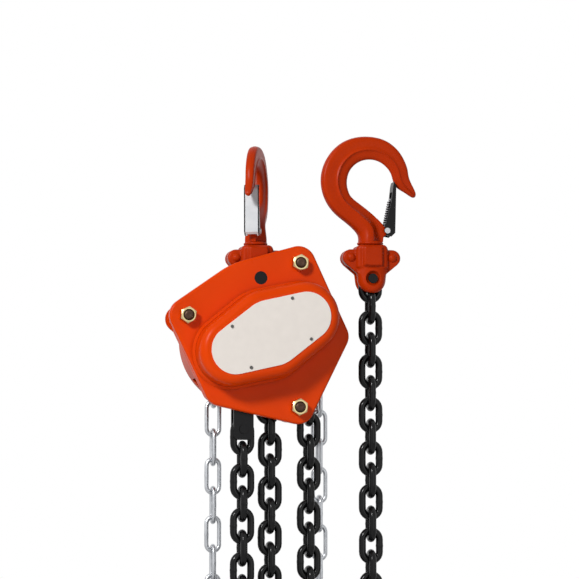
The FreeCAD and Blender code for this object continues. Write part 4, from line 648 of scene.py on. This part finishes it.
def collar_and_stem(end, bowl, *spot):
    """Collar that turns on the yoke, and the stem inside it."""
    foot = -bowl * NECK_SHARE - STEM_LENGTH
    profile = [(radius * bowl, height * bowl) for radius, height in COLLAR_SHARES]
    profile += [(STEM_RADIUS, -bowl * NECK_SHARE), (STEM_RADIUS, foot + STEM_CHAMFER),
                (STEM_RADIUS - STEM_CHAMFER, foot), (POLE, foot)]
    turned(end + "_hook_collar", list(reversed(profile)), hook_frame(bowl, *spot), hook_enamel,
           end + "_hook_body", "hook_paint")


for end, spot in HOOKS.items():
    latch_web(end, *spot)
    collar_and_stem(end, *spot)
print("webs and collars made for", len(HOOKS), "hooks")

# %% [markdown]
# ## Springs and the latch's painted shade lines
#
# The latch is closed by a small coil of spring wire that lies along its inside and moves with it.
# Wire is a tube along a path, so one function makes it, with rings that turn with the path. The
# bright latch is cut from plated sheet, and thin black wires along its sides are painted shade, the
# dark lines where its sides fold back. Without them it would vanish on a white page.

# %% Wire, springs and latch shade lines
# Half width of a latch, and radius of the black wires along its sides that are painted shade
LATCH_HALF, LATCH_SHADE_WIRE = 4.8, 0.42
# Places in a hook's own frame, as shares of its bowl
LATCH_OUTLINE = ((0.98, 0.05), (1.07, -0.12), (1.045, -1.1), (1.02, -2.08), (0.87, -2.24))
LATCH_PIVOT, SPRING_ENDS = (0.68, -2.02), ((0.60, -1.86), (0.84, -0.72))
SPRING_TURNS, SPRING_RADIUS, SPRING_WIRE, COIL_STEPS, SPRING_TIP = 12, 1.15, 0.34, 10, 2
# Where the spring's foot winds past the latch's pin, in mm from the pivot
FOOT_POINTS = ((0, 2.6, -1.4), (-1.5, 2.4, 0))


def wire_along(name, path, radius, finish, body, slot_name, *nodes, sides=8):
    """Closed round wire of a radius in mm along points in metres."""
    points, side = [], None
    for number, point in enumerate(path):
        ahead = (path[min(number + 1, len(path) - 1)] - path[max(number - 1, 0)]).normalized()
        side = side or ahead.orthogonal()
        side = (side - ahead * side.dot(ahead)).normalized()
        up = ahead.cross(side)
        points += [point + (side * math.cos(math.tau * n / sides) + up * math.sin(math.tau * n / sides))
                   * radius * MM for n in range(sides)]
    faces = [tuple(reversed(face)) for face in ring_faces(len(path), sides)]
    faces += [tuple(reversed(range(sides))), tuple(range(len(points) - sides, len(points)))]
    return piece(name, points, faces, finish, body, slot_name, *nodes)


def latch_spring(end, bowl, *spot):
    """Coil along the inside of a latch, with a foot round its pin."""
    place = hook_frame(bowl, *spot)
    low, high = (Vector((x, 0, z)) * bowl for x, z in SPRING_ENDS)
    along = (high - low).normalized()
    side = along.cross(Vector((0, 1, 0)))
    pivot = Vector((LATCH_PIVOT[0], 0, LATCH_PIVOT[1])) * bowl
    out = Vector((0, SPRING_RADIUS, 0))
    path = [pivot + Vector(foot) for foot in FOOT_POINTS] + [low + out]
    for step in range(1, SPRING_TURNS * COIL_STEPS):
        share, angle = step / (SPRING_TURNS * COIL_STEPS), math.tau * step / COIL_STEPS
        path.append(low + (high - low) * share + out * math.cos(angle)
                    + side * SPRING_RADIUS * math.sin(angle))
    path.append(high + along * SPRING_TIP)
    wire_along(end + "_latch_coil", [place @ (point * MM) for point in path], SPRING_WIRE,
               machined_steel, end + "_latch_body", "machined_steel", end + "_latch_spring")


def latch_shade_lines(end, finish, slot_name, bowl, *spot):
    """Black wires along both sides of a latch's face, painted shade where its sides fold back."""
    place = hook_frame(bowl, *spot)
    for side, name in ((-1, "left"), (1, "right")):
        path = [place @ (Vector((x * bowl, side * LATCH_HALF, z * bowl)) * MM)
                for x, z in LATCH_OUTLINE]
        wire_along(f"{end}_latch_{name}_edge", path, LATCH_SHADE_WIRE, finish, end + "_latch_body", slot_name)


for end, spot in HOOKS.items():
    latch_spring(end, *spot)
# Thin black wires along the top latch's sides are painted shade
latch_shade_lines("top", black_oxide, "bright_zinc", *HOOKS["top"])
print("latch springs have", SPRING_TURNS, "turns")

# %% [markdown]
# ## Yoke halves
#
# Each hook turns in a yoke of two forged halves. A half has a raised panel, a barrel round its pin
# and two lugs, all melting into each other as forgings do. Separate boxes and cylinders would meet
# in hard lines. A height over the parting plane, worked out at every point of a round grid, blends
# them, and the grid starts at the pin hole, so that the hole stays crisp.

# %% Height of a yoke half
# All in mm from the middle of the yoke's top
YOKE_HALF, YOKE_SHOULDER, YOKE_DEPTH = 11.4, 4, 11
PIN_DROP, BARREL_RADIUS = 23.6, 10
LUG_X, LUG_DROP, LUG_RADIUS, LUG_THICK = 14.7, 9, 5.8, 6
PANEL_HALF, PANEL_TOP, PANEL_FOOT, PANEL_SLOPE = 7.3, -0.9, -15.4, 1.1
# The core's sides fall off as a superellipse of this power, a little outside the outline
CORE_HEIGHT, CORE_POWER, CORE_SPARE = 9.2, 6, 0.3
# The barrel's section is an ellipse wider than its outline, and starts just below the panel
BARREL_HEIGHT, BARREL_SPARE, BARREL_GAP, BARREL_SLOPE = 10.4, 3.4, 0.2, 1.2
# Radius and foot of the rooms for the hook's stem and its nut
STEM_ROOM, STEM_FOOT, NUT_ROOM, NUT_FOOT = 5.7, -4.6, 8.3, -12.2
CHAIN_SLOT, SLOT_TOP = 2.9, -14.6
LINK_HALF, LINK_TOP, LINK_REACH = 3.2, -30.6, 8.9


def smooth_share(value, low, high):
    """Zero below low, one above high and an S between them."""
    share = min(1, max(0, (value - low) / (high - low)))
    return share * share * (3 - 2 * share)


def yoke_height(x, z):
    """Height of a yoke half above the parting plane, in mm, before its edge is rounded."""
    fall = max(0, 1 - abs(x / (YOKE_HALF + CORE_SPARE)) ** CORE_POWER)
    core = CORE_HEIGHT * fall ** (1 / CORE_POWER)
    inside_panel = -max(abs(x) - PANEL_HALF, z - PANEL_TOP, PANEL_FOOT - z)
    core += (YOKE_DEPTH - CORE_HEIGHT) * smooth_share(inside_panel, 0, PANEL_SLOPE)
    barrel = BARREL_HEIGHT * max(0, 1 - (x / (BARREL_RADIUS + BARREL_SPARE)) ** 2) ** 0.5
    share = smooth_share(PANEL_FOOT - BARREL_GAP - z, 0, BARREL_SLOPE)
    return max(core + (barrel - core) * share, LUG_THICK)


def yoke_inside(x, z, slotted):
    """Height of a half's inner face: room for the stem, its nut, or the chain."""
    room = 0
    if z > NUT_FOOT:
        radius = NUT_ROOM if z < STEM_FOOT else STEM_ROOM
        room = max(0, radius * radius - x * x) ** 0.5
    if slotted and z < SLOT_TOP:
        room = max(room, CHAIN_SLOT)
        if abs(x) < LINK_HALF and z < LINK_TOP:
            room = max(room, max(0, LINK_REACH ** 2 - (z - LINK_TOP + LINK_REACH) ** 2) ** 0.5)
    return room


# %% [markdown]
# ## The round grid
#
# The outline is wrapped round circles, as the forging's dies are. From the pin hole every ray
# leaves it only once, so the distance to it along each ray is enough to place the grid.

# %% Outline of a yoke half
CIRCLE_STEPS = 72
# Below this two directions count as parallel, and a ray may pass a side's end by this share
PARALLEL, ROUNDING = 1e-9, 1e-6


def wrapped(circles):
    """Corners of the outline wrapped round circles of x, z and radius."""
    corners = [Vector((x + radius * math.cos(math.tau * step / CIRCLE_STEPS),
                       z + radius * math.sin(math.tau * step / CIRCLE_STEPS)))
               for x, z, radius in circles for step in range(CIRCLE_STEPS)]
    return [corners[number] for number in convex_hull_2d(corners)]


def reach(outline, middle, way):
    """Distance from a point inside a convex outline to its edge in one direction."""
    furthest = 0
    for start, end in zip(outline, outline[1:] + outline[:1]):
        side, near = end - start, start - middle
        turn = way.cross(side)
        if abs(turn) > PARALLEL and -ROUNDING <= near.cross(way) / turn <= 1 + ROUNDING:
            furthest = max(furthest, near.cross(side) / turn)
    return furthest


# %% Mesh of a yoke half
YOKE_RAYS, YOKE_RINGS = 150, 26
# Distances of the last rings from the outline
EDGE_STEPS = (1.8, 1.1, 0.6, 0.25, 0.06, 0)
# Radius of the rounded edge, and how much it grows from where to where below the panel
EDGE_ROUND, FOOT_ROUND, FOOT_DROP, FOOT_SLOPE = 1.8, 1.4, 4, 6
# The lugs reach down to a circle this much smaller than the barrel
LUG_ROOT = 2.2
# The pin's end is sunk below the face, in a recess with a steep side and a soft lip
PIN_SET, RECESS_WALL, RECESS_LIP = 1.9, 0.02, 0.4


def yoke_outline(way):
    """Distance from the pin hole to the outline in one direction."""
    middle = Vector((0, -PIN_DROP))
    return max(reach(outline, middle, way) for outline in YOKE_OUTLINES)


SHOULDER_X = YOKE_HALF - YOKE_SHOULDER
YOKE_OUTLINES = (
    wrapped([(SHOULDER_X, -YOKE_SHOULDER, YOKE_SHOULDER), (-SHOULDER_X, -YOKE_SHOULDER, YOKE_SHOULDER),
             (0, -PIN_DROP, BARREL_RADIUS)]),
    wrapped([(LUG_X, -LUG_DROP, LUG_RADIUS), (-LUG_X, -LUG_DROP, LUG_RADIUS),
             (0, BARREL_RADIUS / 2 - PIN_DROP, BARREL_RADIUS - LUG_ROOT)]))
YOKE_BODIES = {"top": "top_yoke_body", "bottom": "frame_body"}


def face_column(way, far, bore, recess):
    """Corners of the outer face along one ray, from the pin hole to the outline."""
    start = recess + RECESS_LIP
    rise = far - EDGE_STEPS[0] - recess - RECESS_LIP
    spots = [(bore, PIN_SET), (recess - RECESS_WALL, PIN_SET), (recess, RECESS_LIP)]
    spots += [(start + rise * n / YOKE_RINGS, 0) for n in range(YOKE_RINGS)]
    spots += [(far - step, 0) for step in EDGE_STEPS]
    column = []
    for distance, drop in spots:
        x, z = Vector((0, -PIN_DROP)) + way * distance
        edge = EDGE_ROUND + FOOT_ROUND * smooth_share(PANEL_FOOT - FOOT_DROP - z, 0, FOOT_SLOPE)
        left = max(0, edge - (far - distance))
        column.append((x, yoke_height(x, z) - edge + (edge * edge - left * left) ** 0.5 - drop, z))
    return column


def yoke_half(name, end, side, bore, recess, place):
    """Half with a bore for its pin, sunk below the face in a wider recess."""
    columns = []
    for number in range(YOKE_RAYS):
        angle = math.tau * number / YOKE_RAYS
        way = Vector((math.cos(angle), math.sin(angle)))
        far = yoke_outline(way)
        column = face_column(way, far, bore, recess)
        for n in range(YOKE_RINGS + 1):
            x, z = Vector((0, -PIN_DROP)) + way * (far + (bore - far) * n / YOKE_RINGS)
            column.append((x, yoke_inside(x, z, end == "bottom"), z))
        columns.append([place @ (Vector((x, side * y, z)) * MM) for x, y, z in column])
    rings = list(zip(*columns))
    faces = ring_faces(len(rings), YOKE_RAYS, closed=True)
    if side < 0:
        faces = [tuple(reversed(face)) for face in faces]
    piece(name + "_forging", [corner for ring in rings for corner in ring], faces, hook_enamel,
          YOKE_BODIES[end], "hook_paint", name)
    print(name, len(faces), "faces")


# Radii of the pin's bore and recess, in mm. Only the lower yoke is turned as its hook is
PIN_HOLES = {"top": (4.6, 4.8), "bottom": (3.36, 5.0)}
for end, (bowl, hook_turn, x, yoke_top) in HOOKS.items():
    turn = hook_turn if end == "bottom" else 0
    place = Matrix.Translation((x * MM, 0, -yoke_top * MM)) @ Matrix.Rotation(math.radians(turn), 4, "Z")
    for side, face in ((-1, "front"), (1, "rear")):
        yoke_half(f"{end}_yoke_{face}", end, side, *PIN_HOLES[end], place)


# %% [markdown]
# ## Nuts and bolt ends
#
# A plain hexagon catches no light on its corners. A real nut is chamfered, so its corners end in
# arcs round the face, and the bolt that comes through it ends in a small cone above its thread.

# %% Nuts
NUT_FLAT, NUT_FACE, NUT_HEIGHT, NUT_BORE = 5.1, 4.75, 5.5, 3.55
# Height of the nut's foot over its seat, and width and depth of the chamfer round its bore
NUT_FOOT_GAP, BORE_CHAMFER, BORE_DEPTH = 0.3, 0.35, 0.5
NUT_SIDES, CHAMFER_SLOPE, SHARP_ANGLE = 72, 0.62, 28
# Rings of a nut: radius or hexagon, and height or chamfered top
NUT_PROFILE = (("hex", NUT_FOOT_GAP), ("hex", None), (NUT_FACE, NUT_HEIGHT),
               (NUT_BORE + BORE_CHAMFER, NUT_HEIGHT), (NUT_BORE, NUT_HEIGHT - BORE_DEPTH),
               (NUT_BORE, NUT_FOOT_GAP))


def hexagon(angle, flat):
    """Distance from a nut's middle to its side, for the distance to its flats."""
    return flat / math.cos((angle + math.pi / 6) % (math.pi / 3) - math.pi / 6)


def sharp_by_angle(made, degrees):
    """Marks edges steeper than an angle as sharp, so that flats stay flat."""
    mesh = bmesh.new()
    mesh.from_mesh(made.data)
    bmesh.ops.recalc_face_normals(mesh, faces=mesh.faces)
    for edge in mesh.edges:
        if len(edge.link_faces) == 2 and edge.calc_face_angle() > math.radians(degrees):
            edge.smooth = False
    mesh.to_mesh(made.data)
    mesh.free()


def chamfered_nuts(node_name, finish, slot_name):
    """Nuts with chamfered corners in the places of the plain ones."""
    points, faces = [], []
    for corners in islands(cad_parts[node_name]):
        low, high = corners.min(axis=0), corners.max(axis=0)
        middle = (low + high) / 2
        outward = -1 if middle[1] < 0 else 1
        seat = (high if outward < 0 else low)[1]
        # The corner furthest from the middle tells how the nut is turned
        furthest = np.argmax(np.hypot(*(corners - middle)[:, ::2].T))
        lean = math.atan2(*(corners[furthest] - middle)[::2])
        start = len(points)
        for radius, height in NUT_PROFILE:
            for step in range(NUT_SIDES):
                angle = math.tau * step / NUT_SIDES
                out = hexagon(angle, NUT_FLAT) if radius == "hex" else radius
                up = NUT_HEIGHT - max(0, out - NUT_FACE) * CHAMFER_SLOPE if height is None else height
                turn = math.pi / 2 - lean + angle - math.pi / 6
                points.append(Vector((middle[0] + out * MM * math.cos(turn), seat + outward * up * MM,
                                      middle[2] + out * MM * math.sin(turn))))
        made = ring_faces(len(NUT_PROFILE), NUT_SIDES, closed=True)
        if outward > 0:
            made = [tuple(reversed(face)) for face in made]
        faces += [tuple(start + corner for corner in face) for face in made]
    nuts = piece(node_name + "_chamfered", points, faces, finish, "frame_body", slot_name, node_name)
    sharp_by_angle(nuts, SHARP_ANGLE)
    print(nuts.name, len(points), "corners")


chamfered_nuts("front_nuts", yellow_zinc, "yellow_zinc")
chamfered_nuts("rear_nuts", yellow_zinc, "yellow_zinc")

# %% Bolts
BOLT_RADIUS, BOLT_SIDES = 3.45, 28
# Crests start behind the end cone and stop where the nut does; the shank is a touch thinner
THREAD_PITCH, THREAD_DEPTH, THREAD_START, THREAD_END, SHANK_GAP = 1.2, 0.35, 1.1, 9, 0.05
# Radius and height of the punched dimple in a bolt's end, and the cone round the end
DIMPLE = ((0.15, 0.35), (1.1, 0.25), (1.6, 0))
CONE_WIDTH, CONE_HEIGHT = 0.9, 0.7


def bolt_end():
    """Profile of one end of a bolt, from its dimple over the cone and thread to its shank."""
    profile = [*DIMPLE, (BOLT_RADIUS - CONE_WIDTH, 0), (BOLT_RADIUS - THREAD_DEPTH, CONE_HEIGHT)]
    level = THREAD_START
    while level < THREAD_END:
        profile += [(BOLT_RADIUS, level), (BOLT_RADIUS - THREAD_DEPTH, level + THREAD_PITCH / 2)]
        level += THREAD_PITCH
    return profile + [(BOLT_RADIUS - SHANK_GAP, level)]


def threaded_bolts(node_name, finish, slot_name):
    """Bolts with coned ends and thread where the nuts sit."""
    for number, corners in enumerate(islands(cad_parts[node_name])):
        low, high = corners.min(axis=0) / MM, corners.max(axis=0) / MM
        profile = bolt_end()
        profile += [(radius, high[1] - low[1] - height) for radius, height in reversed(profile)]
        middle = (low + high) / 2
        place = Matrix.Translation(Vector((middle[0], low[1], middle[2])) * MM) @ Matrix.Rotation(
            -math.pi / 2, 4, "X")
        replaced = [node_name] if number == 0 else []
        turned(f"stay_bolt_{number}", profile, place, finish, "frame_body", slot_name, *replaced,
               sides=BOLT_SIDES)
    print(number + 1, "bolts with", len(profile), "rings each")


threaded_bolts("stay_bolts", brown_bolt, "yellow_zinc")

# %% [markdown]
# ## Studio
#
# The hoist hangs, so the floor lies well below it. Floor and background are pale to the camera and
# in reflections only: Light Path tells those rays from the ones that light the hoist. The floor
# stays partly plain paint, which keeps the shadow. The light on the hoist comes from a soft lamp
# high on the left, a weak one on the right and a dim sky.

# %% Floor and world
FLOOR_HALF, FLOOR_DROP, FLOOR_GLOW, SKY_LIGHT = 3, 40 * MM, 0.65, 0.12


def seen_directly(tree):
    """One for camera, glossy and transmission rays, and zero for the light that falls on the hoist."""
    rays = add_node(tree, "ShaderNodeLightPath")
    seen = add_node(tree, "ShaderNodeMath", {"operation": "MAXIMUM"}, _0=rays.outputs["Is Camera Ray"],
                    _1=rays.outputs["Is Glossy Ray"])
    return add_node(tree, "ShaderNodeMath", {"operation": "MAXIMUM"}, _0=seen.outputs[0],
                    _1=rays.outputs["Is Transmission Ray"]).outputs[0]


def floor_below(level):
    """Plain square floor at a height in metres."""
    data = bpy.data.meshes.new("studio_floor")
    corners = [(x * FLOOR_HALF, y * FLOOR_HALF, level) for x, y in ((-1, -1), (1, -1), (1, 1), (-1, 1))]
    data.from_pydata(corners, [], [(0, 1, 2, 3)])
    floor = bpy.data.objects.new("studio_floor", data)
    bpy.context.collection.objects.link(floor)
    material, tree, place = new_material("studio_floor")
    paint = add_node(tree, "ShaderNodeBsdfPrincipled", Base_Color=linear("F2F2F2"), Roughness=0.8)
    glow = add_node(tree, "ShaderNodeEmission", Color=linear("FFFFFF"), Strength=1.0)
    share = add_node(tree, "ShaderNodeMath", {"operation": "MULTIPLY"}, _0=seen_directly(tree),
                     _1=FLOOR_GLOW)
    finish_material(tree, add_node(tree, "ShaderNodeMixShader", _0=share.outputs[0], _1=paint.outputs[0],
                                   _2=glow.outputs[0]))
    data.materials.append(material)


floor_below(cad_box[0][2] - FLOOR_DROP)
world = bpy.data.worlds.new("studio")
bpy.context.scene.world = world
world.use_nodes = True
sky = world.node_tree
sky.nodes.clear()
dim = add_node(sky, "ShaderNodeBackground", Color=linear("FFFFFF"), Strength=SKY_LIGHT)
white = add_node(sky, "ShaderNodeBackground", Color=linear("FFFFFF"), Strength=1.0)
mixed = add_node(sky, "ShaderNodeMixShader", _0=seen_directly(sky), _1=dim.outputs[0], _2=white.outputs[0])
out = add_node(sky, "ShaderNodeOutputWorld")
sky.links.new(mixed.outputs[0], out.inputs["Surface"])
print("floor at", round(cad_box[0][2] - FLOOR_DROP, 3), "m")


# %% Lamps
def soft_lamp(name, place, target, size, power):
    """Square lamp of a size in metres and a power in watts, turned to a target."""
    data = bpy.data.lights.new(name, "AREA")
    data.shape = "SQUARE"
    data.size = size
    data.energy = power
    lamp = bpy.data.objects.new(name, data)
    bpy.context.collection.objects.link(lamp)
    lamp.location = place
    lamp.rotation_euler = (Vector(target) - Vector(place)).to_track_quat("-Z", "Y").to_euler()
    print(name, power, "W")


# Middle of the photograph's frame
AIM = Vector((24.07, 0, -84.12)) * MM
soft_lamp("key_lamp", (-1.15, -1.25, 0.75), AIM, 0.35, 27)
soft_lamp("fill_lamp", (0.6, -1.7, -0.1), AIM, 0.8, 2)

# %% [markdown]
# ## Camera
#
# The photograph was taken from the left of the gear cover and a little below it. A long lens far
# away keeps the sides of the body nearly parallel, as they are there.

# %% Camera
AZIMUTH, ELEVATION = math.radians(-13.56), math.radians(-5.36)
DISTANCE, FRAME_WIDTH = 1.8, 399 * MM
SENSOR_MM = 36
away = Vector((math.sin(AZIMUTH) * math.cos(ELEVATION), -math.cos(AZIMUTH) * math.cos(ELEVATION),
               math.sin(ELEVATION)))
lens = bpy.data.cameras.new("product_camera")
lens.sensor_width = SENSOR_MM
lens.lens = SENSOR_MM * DISTANCE / FRAME_WIDTH
lens.clip_end = 20
camera = bpy.data.objects.new("product_camera", lens)
bpy.context.collection.objects.link(camera)
camera.location = AIM + away * DISTANCE
camera.rotation_euler = (-away).to_track_quat("-Z", "Y").to_euler()
bpy.context.scene.camera = camera
bpy.context.scene.view_settings.view_transform = "Standard"
print("lens", round(lens.lens, 1), "mm")
